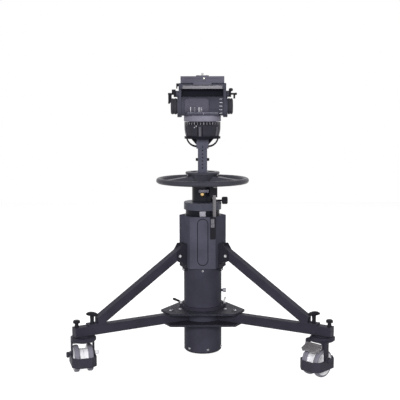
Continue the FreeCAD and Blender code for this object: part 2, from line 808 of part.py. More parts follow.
def tube_ring():
    """Ring on the upper plate with its two side clamp levers."""
    ring = pipe(hub_ring_r, tube_r, plate_top, plate_top + hub_ring_h)
    lever_z = plate_top + hub_ring_h
    for name, side, swing in (("left", -1, 28), ("right", 1, 78)):
        x = side * lever_at
        lug = rod(lever_boss_r * 1.3, (x, 0, plate_top), (x, 0, lever_z))
        ring = fused(ring, lug.cut(rod(tube_r, (0, 0, 0), (0, 0, tube_top))))
        hole = rod(screw_r + fit_gap, (x, 0, lever_z - hub_ring_h * 0.7), (x, 0, lever_z + overrun))
        ring = ring.cut(hole)
        r = lever_boss_r
        foot = -hub_ring_h * 0.6
        boss = lathe([(0, foot), (screw_r, foot), (screw_r, fit_gap), (r, fit_gap), (r, r),
                      (r * 0.6, r * 1.5),
                      (0, r * 1.5)], V(0, 0, 1), V(x, 0, lever_z))
        mid = lever_z + lever_boss_r * 0.8
        reach = V(side * lever_len, 0, lever_rise)
        long = reach.Length
        grip = lathe([(0, 0), (lever_r, 0), (lever_r, long - lever_r), (lever_r * 1.3, long),
                      (lever_r, long + lever_r), (0, long + lever_r)], reach, V(x, 0, mid))
        lever = fused(boss, grip)
        put(f"ring_lever_{name}", turned(lever, side * swing, x, 0))
    put("tube_ring", ring)


def collar():
    """Collar and neck ring on the tube, bored for the inner column."""
    bore = column_r + slide_gap
    edge = slide_gap * 5
    body = lathe([(bore, tube_top - collar_spigot), (tube_in, tube_top - collar_spigot), (tube_in, tube_top),
                  (neck_ring_r, tube_top), (neck_ring_r, collar_z), (collar_r, collar_z + edge),
                  (collar_r, collar_top - edge), (collar_r - edge, collar_top), (bore, collar_top)])
    pad = box(-badge_w / 2, badge_w / 2, -neck_ring_r - edge, -neck_ring_r * 0.9, tube_top + edge, collar_z)
    knob_pad = box(lug_in, lug_in + lug_w, -lug_w / 2, lug_w / 2, collar_top, collar_top + lug_h)
    body = fused(body, pad, knob_pad)
    body = body.cut(rod(brake_stem_r + fit_gap, (0, 0, brake_z), (collar_r * 2, 0, brake_z)))
    put("collar", body)
    near, far = brake_in - brake_start, brake_out - brake_start
    knob = lathe([(0, 0), (brake_stem_r, 0), (brake_stem_r, near), (brake_r * 0.8, near),
                  (brake_r, near + edge * 2), (brake_r, far - edge * 2), (brake_r * 0.8, far), (0, far)],
                 V(1, 0, 0), V(brake_start, 0, brake_z))
    put("column_brake_knob", knob)
    block = box(scale_x - scale_w * 0.9, scale_x + scale_w * 0.85, -sleeve_front - block_out, -sleeve_front,
                scale_block_z, tube_top)
    put("scale_block", block)


def inner_column():
    tube = pipe(column_r, column_r - column_wall, column_bottom, column_top)
    bracket = box(scale_x - scale_w, scale_x + scale_w * 1.45, -scale_y, -scale_w, bracket_z, column_top)
    bracket = bracket.cut(rod(column_r - column_wall / 2, (0, 0, 0), (0, 0, hub_top)))
    label_z = bracket_z + label_up
    label = box(-scale_w * 1.3, scale_w * 2.1, -column_r - slide_gap * 4, -column_r * 0.7,
                label_z, label_z + scale_w)
    label = label.cut(rod(column_r - column_wall / 2, (0, 0, 0), (0, 0, hub_top)))
    foot = pipe(tube_in - slide_gap, column_r - column_wall, column_bottom, column_bottom + collar_spigot)
    put("inner_column", fused(tube, bracket, label, foot))
    face = -column_r
    valve = lathe([(0, valve_z), (valve_r * 0.3, valve_z), (valve_r, valve_z + valve_h * 0.5),
                   (valve_r, valve_z + valve_h), (0, valve_z + valve_h)],
                  V(0, 0, 1), V(0, face - valve_r * 1.1, 0))
    arm = rod(valve_r * 0.5, (0, face, valve_z + valve_h * 0.7),
              (0, face - valve_r, valve_z + valve_h * 0.7))
    arm = arm.cut(rod(column_r, (0, 0, 0), (0, 0, hub_top)))
    put("air_valve", fused(valve, arm))
    put("height_scale",
        box(scale_x, scale_x + scale_w, -scale_y - scale_t, -scale_y, scale_bottom, scale_top))


def steering_ring():
    rim = Part.makeTorus(ring_r, ring_tube, V(0, 0, ring_z))
    recess = hub_flange_t * 0.6
    flange_low = hub_top - hub_flange_t
    hub = lathe([(0, column_top), (hub_low_r, column_top), (hub_low_r, ring_z),
                 (hub_flange_r * 0.9, flange_low - hub_flange_t), (hub_flange_r, flange_low),
                 (hub_flange_r, hub_top - hub_flange_t * 0.3), (hub_flange_r * 0.96, hub_top),
                 (post_w * 1.35, hub_top), (post_w * 1.25, hub_top - recess), (0, hub_top - recess)])
    spokes = []
    half = spoke_w / 2
    x0, x1 = hub_low_r * 0.8, ring_r
    outline = [(x0, ring_z - spoke_low), (x1, ring_z - ring_tube * 0.5), (x1, ring_z + ring_tube * 0.5),
               (x0, ring_z + spoke_high)]
    taper = prism([(x0, -half), (x1, -half * 0.6), (x1, half * 0.6), (x0, half)], column_top, hub_top)
    spoke = side_prism(outline, -half, half).common(taper)
    for angle in arm_angles.values():
        spokes.append(turned(spoke, angle))
    put("steering_ring", fused(hub, rim, *spokes))


def neck():
    half = post_w / 2
    floor = hub_top - hub_flange_t * 0.6
    post = box(-half, half, -half, half, floor, post_top)
    post = softened(post, pin_knob_r * 0.3, upright)
    edge = block_w * 0.06
    block = box(-block_w / 2, block_w / 2, -block_w / 2, block_w / 2, post_top, block_top)
    block = softened(block, edge, upright)
    wide = half + edge * 2
    flange = box(-wide, wide, -wide, wide, floor, floor + edge * 1.5)
    post = fused(post, block, flange)
    for k in range(7):
        z = hole_top - hole_pitch * k
        face = block_w / 2 if z > post_top else half
        post = post.cut(rod(hole_r, (0, -face - overrun, z), (0, -face + post_w * 0.22, z)))
    post = post.cut(rod(hole_r, (-block_w, 0, pin_z), (block_w, 0, pin_z)))
    put("neck_post", post)
    r = pin_knob_r
    knobs = [lathe([(hole_r * 0.5, 0), (r, 0), (r, r * 0.5), (r * 0.75, r * 0.65), (r, r * 0.8),
                    (r, r * 1.35),
                    (hole_r * 0.5, r * 1.35)], V(s, 0, 0), V(s * half, 0, pin_z)) for s in (-1, 1)]
    pin = rod(hole_r, (-half - r * 1.4, 0, pin_z), (half + r * 1.4, 0, pin_z))
    put("cross_pin", fused(pin, *knobs))


def bowl():
    """Bowl ring on the neck block, with a flare at each side of the block and two curved struts."""
    half = block_w / 2
    flare_r = bowl_r * 0.64
    ring = lathe([(0, bowl_bottom), (bowl_r, bowl_bottom), (bowl_r, bowl_top), (0, bowl_top)])
    flare = lathe([(0, flare_z), (half * 0.8, flare_z), (flare_r, bowl_bottom), (0, bowl_bottom)])
    flare = flare.common(box(-bowl_r, bowl_r, -half + flare_back, half - flare_back, flare_z, bowl_bottom))
    t = strut_t
    a = V(bowl_r * 0.9, 0, bowl_bottom)
    b = V(bowl_r * 0.62, 0, bowl_bottom - (bowl_bottom - post_top) * 0.72)
    c = V(half, 0, post_top + t * 0.7)
    root = V(half, 0, post_top + t * 2)
    outer = Part.Arc(a, b, c).toShape()
    inner = Part.Arc(V(a.x - t, 0, a.z), V(b.x - t * 0.4, 0, b.z + t), root).toShape()
    wire = Part.Wire([outer, Part.LineSegment(c, root).toShape(), inner,
                      Part.LineSegment(V(a.x - t, 0, a.z), a).toShape()])
    strut = Part.Face(wire).extrude(V(0, strut_w, 0))
    strut.translate(V(0, -strut_w / 2, 0))
    block = box(-half, half, -half, half, post_top, block_top)
    body = fused(ring, flare, strut, turned(strut, 180))
    put("bowl_ring", body.cut(block))


def half_ball():
    """Levelling half ball, round and narrowing to the bowl, with six raised straps."""
    r1 = pan_drag_r
    top = V(r1, 0, ball_top)
    mid = V(r1 * 0.985, 0, (ball_top + bowl_top) / 2)
    low = V(ball_low_r, 0, bowl_top)
    arc = Part.Arc(top, mid, low).toShape()
    rest = Part.makePolygon([low, V(0, 0, bowl_top), V(0, 0, ball_top), top])
    body = Part.Face(Part.Wire([arc] + rest.Edges)).revolve(V(0, 0, 0), V(0, 0, 1), 360)
    w = strap_w / 2
    grow = strap_out
    big = body.copy().scaled((r1 + grow) / r1, V(0, 0, bowl_top)).common(
        box(-collar_r * 2, collar_r * 2, -collar_r * 2, collar_r * 2, bowl_top, ball_top - strap_w * 0.4))
    straps = []
    for k in range(6):
        bar = box(ball_low_r * 0.7, collar_r * 2, -w, w, bowl_top, ball_top).common(big)
        straps.append(turned(bar, 262 + sixth * k))
    put("half_ball", fused(body, *straps))


def pan_parts():
    ring = pipe(pan_drag_r, pan_bush_r + fit_gap, ball_top + slide_gap, ball_top + drag_ring_h)
    grooves = []
    for k in range(tick_count):
        cut = box(pan_drag_r - tick_d, pan_drag_r + overrun, -tick_w / 2, tick_w / 2,
                  ball_top + drag_ring_h * 0.25, ball_top + drag_ring_h + overrun)
        grooves.append(turned(cut, tick_turn + k * 360 / tick_count))
    put("pan_drag_ring", ring.cut(grooves))
    edge = head_r * 0.03
    post = lathe([(0, ball_top + fit_gap), (pan_bush_r, ball_top + fit_gap), (pan_bush_r, base_bottom),
                  (head_r - edge, base_bottom), (head_r, base_bottom + edge), (head_r, base_top - edge),
                  (head_r - edge, base_top), (0, base_top)])
    put("pan_base", post)


def drum():
    """Tilt housing: the drum with its foot, front panel, scale bars and side journals."""
    body = rod(drum_r, (-drum_half, 0, tilt_z), (drum_half, 0, tilt_z))
    neck_r = drum_r * 0.93
    foot = box(-foot_half, foot_half, -foot_half * 0.93, foot_half * 0.93, base_top, foot_top)
    foot = softened(foot, foot_half * 0.15, upright)
    web = box(-foot_half, foot_half, -neck_r, neck_r, foot_top - panel_t, tilt_z)
    panel = box(-panel_left, panel_right, -drum_r - panel_t * 1.5, 0,
                tilt_z - panel_half_z, tilt_z + panel_half_z)
    panel = softened(panel, panel_half_z * 0.4, lambda e: abs(e.Vertexes[0].Y - e.Vertexes[-1].Y) > panel_t)
    panel = panel.common(rod(drum_r + panel_t, (-panel_left, 0, tilt_z), (panel_right, 0, tilt_z)))
    bars = []
    for k in range(5):
        bar = rod(drum_r + bar_t, (bar_x, 0, tilt_z), (bar_x + bar_len, 0, tilt_z))
        wedge = box(bar_x, bar_x + bar_len, -drum_r * 2, -drum_r * 0.5, tilt_z - bar_t, tilt_z + bar_t)
        wedge.rotate(V(0, 0, tilt_z), V(1, 0, 0), bar_first + k * bar_step)
        bars.append(bar.common(wedge))
    journals = rod(journal_r, (-journal_end, 0, tilt_z), (journal_end, 0, tilt_z))
    below = box(-knob_out, knob_out, -knob_out, knob_out, tube_top, base_top)
    put("tilt_drum", fused(body.cut(below), foot, web, panel, journals, *bars))


def tilt_frame():
    """Camera platform with its two side cheeks on the drum journals."""
    platform = box(-frame_half, frame_half, -frame_depth, frame_depth, frame_bottom, frame_top)
    strip = box(-strip_half, strip_half, -frame_depth - strip_t, -frame_depth,
                frame_bottom, frame_bottom + strip_h)
    saddle = box(-cheek_in, cheek_in, -saddle_half, saddle_half, frame_bottom - saddle_drop, frame_bottom)
    saddle = saddle.cut(rod(drum_r + saddle_gap, (-knob_out, 0, tilt_z), (knob_out, 0, tilt_z)))
    groove = box(-tongue_half - cam_gap, tongue_half + cam_gap, -frame_depth - overrun,
                 frame_depth + overrun,
                 frame_top - tongue_h - cam_gap, frame_top + overrun)
    cheeks = []
    for side in (-1, 1):
        x0, x1 = sorted((side * cheek_in, side * cheek_out))
        disc = rod(cheek_r, (x0, 0, tilt_z), (x1, 0, tilt_z))
        w0, w1 = sorted((side * cheek_in, side * web_out))
        slope = frame_depth * 0.85
        web = end_prism([(-cheek_r, tilt_z), (cheek_r, tilt_z), (slope, frame_top), (-slope, frame_top)],
                        w0, w1)
        boss = rod(rosette_r, (side * cheek_in, rosette_y, rosette_z),
                   (side * (cheek_out + rosette_t), rosette_y, rosette_z))
        cheeks += [disc, web, boss]
    body = fused(platform, strip, saddle, *cheeks)
    body = body.cut([groove, rod(journal_r + fit_gap, (-knob_out, 0, tilt_z), (knob_out, 0, tilt_z))])
    for side in (-1, 1):
        body = body.cut(rod(clamp_pin_r + fit_gap, (side * (cheek_out - clamp_pin_in), rosette_y, rosette_z),
                            (side * knob_out, rosette_y, rosette_z)))
    lever_hole = rod(clamp_pin_r + fit_gap, (-web_out + clamp_pin_in, plate_lever_y, plate_lever_z),
                     (-frame_half * 2, plate_lever_y, plate_lever_z))
    put("tilt_frame", body.cut(lever_hole))


def camera_plate():
    low = frame_top + cam_gap
    body = box(-cam_half, cam_half, -cam_depth, cam_depth, low, cam_top)
    body = softened(body, cam_gap * 8, upright)
    tongue = box(-tongue_half, tongue_half, -cam_depth, cam_depth, frame_top - tongue_h, low)
    window = box(-window_half, window_half, -cam_depth - overrun, -cam_depth + tongue_h / 3,
                 low + tongue_h * 0.5, low + tongue_h * 2)
    pad = box(-pad_half, pad_half, -cam_depth * 0.98, cam_depth * 0.98, cam_top, cam_top + pad_t)
    level_z = cam_top - level_r * 2
    level = rod(level_r, (level_x, -cam_depth * 0.98, level_z), (level_x, -cam_depth - level_out, level_z))
    bell_z = cam_top - level_r * 4.5
    bell = end_prism([(-cam_depth - level_out * 0.6, bell_z), (-cam_depth * 0.98, bell_z),
                      (-cam_depth * 0.98, level_z)], level_x - level_r * 1.4, level_x + level_r * 1.4)
    body = fused(body.cut(window), tongue, pad, level, bell)
    head_top = frame_top - tongue_h * 0.2
    head_low = frame_top - tongue_h
    screw_hole = rod(screw_shank_r + fit_gap, (0, 0, head_low - overrun), (0, 0, cam_top + pad_t * 2))
    head_hole = rod(camera_screw_r * 1.8 + fit_gap, (0, 0, head_low - overrun), (0, 0, head_top + fit_gap))
    pad_hole = rod(camera_screw_r + fit_gap, (0, 0, cam_top), (0, 0, cam_top + pad_t * 2))
    put("camera_plate", body.cut([screw_hole, head_hole, pad_hole]))
    shank = rod(screw_shank_r, (0, 0, head_low), (0, 0, cam_top + pad_t + thread_gap))
    thread = rod(camera_screw_r, (0, 0, cam_top + pad_t + thread_gap),
                 (0, 0, cam_top + pad_t + camera_screw_h))
    head = rod(camera_screw_r * 1.8, (0, 0, head_low), (0, 0, head_top))
    put("camera_screw", fused(shank, thread, head))


def plate_lever():
    x = -web_out
    y, z, w = plate_lever_y, plate_lever_z, plate_lever_w
    top, low = z + lever_boss_r * 0.6, z - plate_lever_len
    boss = rod(lever_boss_r * 0.9, (x - fit_gap, y, z), (x - w, y, z))
    pin = rod(clamp_pin_r, (x + clamp_pin_in * 0.9, y, z), (x - w, y, z))
    arm = side_prism([(x - w, top), (x - w, low), (x - w * 0.55, low), (x - w * 0.4, top)],
                     y - lever_boss_r * 0.7, y + lever_boss_r * 0.7)
    put("plate_lever", fused(boss, pin, arm))


def drag_knobs():
    """Fluted tilt drag knobs on the drum journals, the left one longer."""
    rib = knob_r * 0.04
    for name, side, depth in (("left", -1, knob_len_left), ("right", 1, knob_len)):
        profile = [(0, 0), (knob_r * 0.86, 0), (knob_r, depth * 0.16), (knob_r, depth * 0.4),
                   (knob_r * 0.93, depth * 0.47), (knob_r * 0.93, depth * 0.55), (knob_r, depth * 0.62),
                   (knob_r * 0.98, depth * 0.84), (knob_r * 0.9, depth * 0.96), (knob_r * 0.8, depth),
                   (0, depth)]
        body = lathe(profile, V(side, 0, 0), V(side * knob_in, 0, tilt_z))
        flutes = []
        for k in range(flute_count):
            a = math.radians(k * 360 / flute_count)
            y, z = (knob_r + rib) * math.cos(a), (knob_r + rib) * math.sin(a)
            flutes.append(rod(rib * 2.2, (side * knob_in, y, tilt_z + z),
                              (side * (knob_in + depth + overrun), y, tilt_z + z)))
        bore = rod(journal_r + fit_gap, (side * knob_in, 0, tilt_z),
                   (side * (journal_end + slide_gap), 0, tilt_z))
        put(f"tilt_drag_knob_{name}", body.cut(flutes + [bore]))


def bar_clamps():
    """Pan bar clamps: toothed disc and lever on each cheek."""
    x0 = cheek_out + rosette_t
    y, z = rosette_y, rosette_z
    disc_t = clamp_disc_t
    for side in (-1, 1):
        face = side * (x0 + fit_gap)
        disc = rod(rosette_r, (face, y, z), (side * (x0 + disc_t), y, z))
        pin = rod(clamp_pin_r, (side * (cheek_out - clamp_pin_in * 0.8), y, z), (side * (x0 + disc_t), y, z))
        bar = rod(clamp_bar_r, (side * x0 + side * disc_t / 2, y, z), (side * clamp_out, y, z))
        if side > 0:
            knob_x = x0 + disc_t * 0.9
            r = clamp_knob_r
            knob = lathe([(0, 0), (r * 0.6, 0), (r, r * 0.4), (r, r * 1.1), (r * 0.6, r * 1.5),
                          (0, r * 1.5)],
                         V(0, 0, 1), V(knob_x, y, z + rosette_r * 0.8))
            end = Part.makeSphere(clamp_bar_r * 1.35, V(clamp_out, y, z))
            grip_x = clamp_out - clamp_bar_r * 1.6
            grip = rod(clamp_bar_r, (grip_x, y, z), (grip_x, y, z - clamp_drop_right))
            put("bar_clamp_right", fused(disc, pin, bar, knob, end, grip))
        else:
            knob_x = -x0 - disc_t * 0.9
            knob_z = z + rosette_r * 0.75
            knob = rod(clamp_knob_r, (knob_x - clamp_knob_r, y, knob_z),
                       (knob_x + clamp_knob_r * 0.8, y, knob_z))
            elbow = Part.makeSphere(clamp_bar_r * 1.2, V(-clamp_out, y, z))
            grip = rod(clamp_bar_r * 0.85, (-clamp_out, y, z), (-clamp_out, y, z - clamp_drop_left))
            end = Part.makeSphere(clamp_bar_r * 1.1, V(-clamp_out, y, z - clamp_drop_left))
            put("bar_clamp_left", fused(disc, pin, bar, knob, elbow, grip, end))


column()
sleeve()
plates()
arms()
braces()
brackets()
body_screws()
frame_bolts()
tee_knobs()
lock_knobs()
casters()
tube_ring()
collar()
inner_column()
steering_ring()
neck()
bowl()
half_ball()
pan_parts()
drum()
tilt_frame()
camera_plate()
plate_lever()
drag_knobs()
bar_clamps()

whole = FreeCAD.BoundBox()
for shape in nodes.values():
    whole.add(shape.optimalBoundingBox(False))
move = V(-whole.Center.x, -whole.Center.y, -whole.ZMin)
os.makedirs("parts", exist_ok=True)
for name, shape in nodes.items():
    shape.translate(move)
    shape.exportStep(f"parts/{name}.step")
print("axis", round(move.x, 4), round(move.y, 4), round(move.z, 4), "pieces", len(nodes))
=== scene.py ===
import math

import bmesh
import bpy
from mathutils import Matrix, Vector

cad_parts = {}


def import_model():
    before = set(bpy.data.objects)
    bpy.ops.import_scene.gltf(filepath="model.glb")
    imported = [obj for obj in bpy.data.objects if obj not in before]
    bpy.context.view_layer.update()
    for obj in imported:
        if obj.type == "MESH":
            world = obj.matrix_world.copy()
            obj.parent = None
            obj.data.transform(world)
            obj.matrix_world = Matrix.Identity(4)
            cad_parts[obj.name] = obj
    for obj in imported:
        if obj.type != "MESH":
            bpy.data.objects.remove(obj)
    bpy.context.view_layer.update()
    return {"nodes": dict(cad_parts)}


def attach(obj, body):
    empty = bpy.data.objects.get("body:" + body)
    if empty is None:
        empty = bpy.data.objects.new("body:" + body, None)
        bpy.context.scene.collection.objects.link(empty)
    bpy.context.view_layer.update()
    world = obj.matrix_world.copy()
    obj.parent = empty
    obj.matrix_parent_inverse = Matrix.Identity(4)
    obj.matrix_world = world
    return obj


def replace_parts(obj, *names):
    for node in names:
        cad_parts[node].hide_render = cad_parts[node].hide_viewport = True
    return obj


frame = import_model()
nodes = frame["nodes"]

# Lengths and places are in mm, from the column axis and the floor, and angles in degrees

MM = 0.001
AXIS_X, AXIS_Y = 11.8451, -130.7622  # column axis in the frame
ARMS = {1: 210, 2: 330, 3: 90}  # direction of each arm from the column
TRAILS = {1: 107, 2: 225, 3: 62}  # direction in which each caster trails
SWIVEL_R = 503.0  # column axis to a caster's swivel axis
TRAIL = 32.0  # swivel axis to axle
WHEEL_R = 50
HALF_TRACK = 25  # middle of a caster to the middle of a wheel
TILT_Z = 974  # height of the tilt axis
RULE_LEFT = 39.0  # left edge of the height scale
TIP = 0.01  # radius at which a turned form closes

RIGHT = Vector((1, 0, 0))
BACK = Vector((0, 1, 0))
FRONT = Vector((0, -1, 0))
UP = Vector((0, 0, 1))


def place(x, y, z):
    """A point given in mm from the column axis and the floor, as metres in the frame."""
    return Vector(((x + AXIS_X) * MM, (y + AXIS_Y) * MM, z * MM))


def flat(angle):
    """Level direction at an angle round the column."""
    a = math.radians(angle)
    return Vector((math.cos(a), math.sin(a), 0))


def polar(radius, angle, z):
    """A point at a radius and an angle round the column axis."""
    a = math.radians(angle)
    return place(radius * math.cos(a), radius * math.sin(a), z)


# Materials

BROAD_SPOTS = 9  # noise scales, in spots to the metre
SMEAR_SPOTS = 34
PATCH_SPOTS = 160
SPECK_SPOTS = 620
PEDAL_SPOTS = 260.0
WEAR = 0.35  # share of bare finish in a fully rubbed place
GRAIN_SHARE = 0.35
TICK_COLOUR = (0.03, 0.03, 0.035, 1)
TREAD_COLOUR = (0.05, 0.045, 0.042, 1)
NECK_RING_COLOUR = (0.007, 0.0075, 0.0115, 1)
NECK_RING_TOP = 575.0
LATHE_MARKS = 5200.0  # turn of the wave in radians to the metre


def graph(name):
    """New material with one surface shader."""
    material = bpy.data.materials.new(name)
    material.use_nodes = True
    tree = material.node_tree
    tree.nodes.clear()
    out = tree.nodes.new("ShaderNodeOutputMaterial")
    shader = tree.nodes.new("ShaderNodeBsdfPrincipled")
    tree.links.new(shader.outputs[0], out.inputs[0])
    return material, tree, shader


def feed(tree, socket, value):
    """Link a socket to an output, or set its value."""
    if isinstance(value, bpy.types.NodeSocket):
        tree.links.new(value, socket)
    else:
        socket.default_value = value


def node(tree, kind, settings=None, **inputs):
    """New node; an input is given by number, as i0 or i1, or by its name with _ for a space."""
    made = tree.nodes.new(kind)
    for key, value in (settings or {}).items():
        setattr(made, key, value)
    for key, value in inputs.items():
        numbered = key[0] == "i" and key[1:].isdigit()
        which = int(key[1:]) if numbered else key.replace("_", " ")
        feed(tree, made.inputs[which], value)
    return made


def maths(tree, operation, a, b=0.0, c=0.0):
    return node(tree, "ShaderNodeMath", {"operation": operation}, i0=a, i1=b, i2=c).outputs[0]


def times(tree, a, b):
    return maths(tree, "MULTIPLY", a, b)


def ranged(tree, value, low, high):
    """Smooth step from 0 at low to 1 at high."""
    settings = {"interpolation_type": "SMOOTHSTEP"}
    return node(tree, "ShaderNodeMapRange", settings, i0=value, i1=low, i2=high).outputs[0]


def mixed(tree, factor, a, b):
    """Mix of two colours."""
    return node(tree, "ShaderNodeMix", {"data_type": "RGBA"}, i0=factor, i6=a, i7=b).outputs[2]


def rgba(colour, gain=1.0):
    return (colour[0] * gain, colour[1] * gain, colour[2] * gain, 1.0)


def spots(tree, coords, scale, stretch=(1, 1, 1), detail=2.0, rough=0.5):
    """Noise between 0 and 1."""
    spread = node(tree, "ShaderNodeMapping", None, Vector=coords, Scale=stretch)
    noise = node(tree, "ShaderNodeTexNoise", None, Vector=spread.outputs[0], Scale=scale,
                 Detail=detail, Roughness=rough)
    return noise.outputs[0]


def rubbed(tree, coords, soft):
    """Share of rubbing: patches along the edges, where the softened normal leaves the true one."""
    normal = node(tree, "ShaderNodeNewGeometry").outputs["Normal"]
    facing = node(tree, "ShaderNodeVectorMath", {"operation": "DOT_PRODUCT"}, i0=soft, i1=normal)
    edges = ranged(tree, facing.outputs["Value"], 0.995, 0.9)
    patches = ranged(tree, spots(tree, coords, PATCH_SPOTS), 0.42, 0.62)
    return times(tree, edges, patches)


def finish_material(name, colour, rough, worn=None, vary=0.2, grain=1300, bump=0.04, speck=0.0,
                    speck_colour=None, metal=0.0, spec=0.5, edge=0.8, stretch=(1, 1, 1), coat=0.0,
                    smear=0.12, extra=None):
    """Painted, moulded or bare surface: drifting tone, fine grain, specks, rubbed and soft edges.

    Edge is the radius of the softened edges and bump the depth of the grain, both in mm.
    Vary and smear are the drift of the tone and of the roughness to either side.
    """
    material, tree, shader = graph(name)
    coords = node(tree, "ShaderNodeTexCoord").outputs["Object"]
    fine = spots(tree, coords, grain, stretch, 3.0, 0.6)
    broad = spots(tree, coords, BROAD_SPOTS, detail=4.0, rough=0.6)
    soft = node(tree, "ShaderNodeBevel", {"samples": 6}, Radius=edge * MM).outputs[0]
    tone = ranged(tree, broad, 0.3, 0.7)
    base = mixed(tree, tone, rgba(colour, 1 - vary), rgba(colour, 1 + vary))
    grains = times(tree, ranged(tree, fine, 0.35, 0.65), GRAIN_SHARE)
    base = mixed(tree, grains, base, rgba(colour, 1 + vary * 3))
    if speck:
        dots = ranged(tree, spots(tree, coords, SPECK_SPOTS, detail=1.0), 0.64, 0.72)
        base = mixed(tree, times(tree, dots, speck), base, rgba(speck_colour))
    if worn:
        base = mixed(tree, times(tree, rubbed(tree, coords, soft), WEAR), base, rgba(worn))
    height = fine
    if extra:
        base, height = extra(tree, coords, base, height)
    tree.links.new(base, shader.inputs["Base Color"])
    smears = spots(tree, coords, SMEAR_SPOTS, detail=4.0, rough=0.65)
    level = maths(tree, "MULTIPLY_ADD", smears, smear * 2, rough - smear)
    tree.links.new(level, shader.inputs["Roughness"])
    bumped = node(tree, "ShaderNodeBump", None, Strength=0.6, Distance=bump * MM, Height=height,
                  Normal=soft)
    tree.links.new(bumped.outputs[0], shader.inputs["Normal"])
    shader.inputs["Metallic"].default_value = metal
    shader.inputs["Specular IOR Level"].default_value = spec
    shader.inputs["Coat Weight"].default_value = coat
    shader.inputs["Coat Roughness"].default_value = 0.2
    return material


def ruled(tree, coords, base, height):
    """Plain engraved height ticks: every 2 mm, longer at 10 mm."""
    split = node(tree, "ShaderNodeSeparateXYZ", None, Vector=coords)
    x, z = split.outputs[0], split.outputs[2]
    left = (RULE_LEFT + AXIS_X) * MM
    rows = []
    for spacing, share, length in ((2, 0.3, 4.0), (10, 0.07, 8.0)):
        step = maths(tree, "FRACT", times(tree, z, 1 / (spacing * MM)))
        line = maths(tree, "LESS_THAN", step, share)
        inside = maths(tree, "LESS_THAN", x, left + length * MM)
        rows.append(times(tree, line, inside))
    ticks = maths(tree, "MAXIMUM", rows[0], rows[1])
    return mixed(tree, ticks, base, TICK_COLOUR), height


def ribbed(tree, coords, base, height):
    """Raised tread pattern on the pedal plates."""
    cells = node(tree, "ShaderNodeTexVoronoi", None, Vector=coords, Scale=PEDAL_SPOTS)
    raised = ranged(tree, cells.outputs["Distance"], 0.2, 0.5)
    return mixed(tree, times(tree, raised, 0.5), base, TREAD_COLOUR), raised


def dark_below(tree, coords, base, height):
    """Black neck ring under the lighter collar."""
    z = node(tree, "ShaderNodeSeparateXYZ", None, Vector=coords).outputs[2]
    ring = maths(tree, "LESS_THAN", z, NECK_RING_TOP * MM)
    return mixed(tree, ring, base, NECK_RING_COLOUR), height


def turned_marks(tree, coords, base, height):
    """Fine lathe marks, rings along the height."""
    z = node(tree, "ShaderNodeSeparateXYZ", None, Vector=coords).outputs[2]
    rings = maths(tree, "SINE", times(tree, z, LATHE_MARKS))
    return base, maths(tree, "MULTIPLY_ADD", rings, 0.3, height)


paint = finish_material("black_powder_coat", (0.029, 0.0275, 0.039), 0.5, worn=(0.06, 0.06, 0.075),
                        spec=0.07, speck=0.25, speck_colour=(0.07, 0.07, 0.085))
bracket_paint = finish_material("bracket_coat", (0.019, 0.0185, 0.026), 0.5, worn=(0.06, 0.06, 0.075),
                                spec=0.05, speck=0.2, speck_colour=(0.07, 0.07, 0.085))
# Near-black coat of the bowl ring. It is also the painted shade on the sheet between the camera
# platform and the drum.
dark_coat_and_painted_shade = finish_material("dark_casting_coat_and_painted_shade", (0.0075, 0.0075, 0.0115), 0.5,
                             worn=(0.04, 0.04, 0.05), spec=0.06)
plate_paint = finish_material("speckled_plate_coat", (0.022, 0.0215, 0.03), 0.46,
                              worn=(0.09, 0.09, 0.1), spec=0.05, speck=0.8,
                              speck_colour=(0.2, 0.2, 0.22), bump=0.1)
tube_paint = finish_material("anodised_tube", (0.042, 0.0415, 0.058), 0.42, worn=(0.09, 0.09, 0.11),
                             spec=0.02, bump=0.02, stretch=(1, 1, 6))
sleeve_paint = finish_material("sleeve_coat", (0.064, 0.064, 0.088), 0.55, worn=(0.12, 0.12, 0.14),
                               spec=0.0, bump=0.02)
gloss_tube = finish_material("polished_inner_column", (0.008, 0.0085, 0.0125), 0.2,
                             worn=(0.05, 0.05, 0.05), spec=0.14, bump=0.006, smear=0.05,
                             extra=turned_marks)
ring_paint = finish_material("steering_ring_coat", (0.041, 0.0405, 0.053), 0.34, worn=(0.08, 0.08, 0.1),
                             spec=0.12, bump=0.015)
head_paint = finish_material("head_casting_coat", (0.051, 0.051, 0.069), 0.47, worn=(0.1, 0.1, 0.12),
                             spec=0.07, speck=0.35, speck_colour=(0.09, 0.09, 0.11), bump=0.06)
panel_paint = finish_material("speckled_panel_coat", (0.075, 0.072, 0.095), 0.5,
                              worn=(0.14, 0.14, 0.16), spec=0.08, speck=0.75,
                              speck_colour=(0.24, 0.23, 0.27), bump=0.05, edge=0.3)
top_plate_paint = finish_material("camera_plate_coat", (0.085, 0.082, 0.108), 0.46,
                                  worn=(0.18, 0.18, 0.2), spec=0.1, speck=0.3,
                                  speck_colour=(0.15, 0.15, 0.18), bump=0.04)
neck_paint = finish_material("grey_anodised_neck", (0.075, 0.076, 0.103), 0.44, worn=(0.18, 0.18, 0.21),
                             spec=0.08, bump=0.02)
ball_paint = finish_material("half_ball_coat", (0.025, 0.0245, 0.033), 0.4, worn=(0.06, 0.06, 0.07),
                             spec=0.12, bump=0.02)
band_metal = finish_material("satin_grey_band", (0.19, 0.183, 0.23), 0.4, worn=(0.3, 0.3, 0.34),
                             spec=0.08, bump=0.02, stretch=(1, 1, 9))
collar_metal = finish_material("satin_collar", (0.054, 0.056, 0.074), 0.36, worn=(0.2, 0.19, 0.18),
                               spec=0.1, bump=0.02, stretch=(1, 1, 9), edge=1.0, extra=dark_below)
plastic = finish_material("black_moulded_plastic", (0.012, 0.012, 0.0155), 0.42,
                          worn=(0.04, 0.04, 0.045), spec=0.1, bump=0.05, grain=900, edge=1.2)
guard_plastic = finish_material("guard_plastic", (0.042, 0.04, 0.054), 0.54, worn=(0.07, 0.07, 0.08),
                                spec=0.07, bump=0.06, grain=700, edge=1.0, speck=0.2,
                                speck_colour=(0.07, 0.07, 0.08))
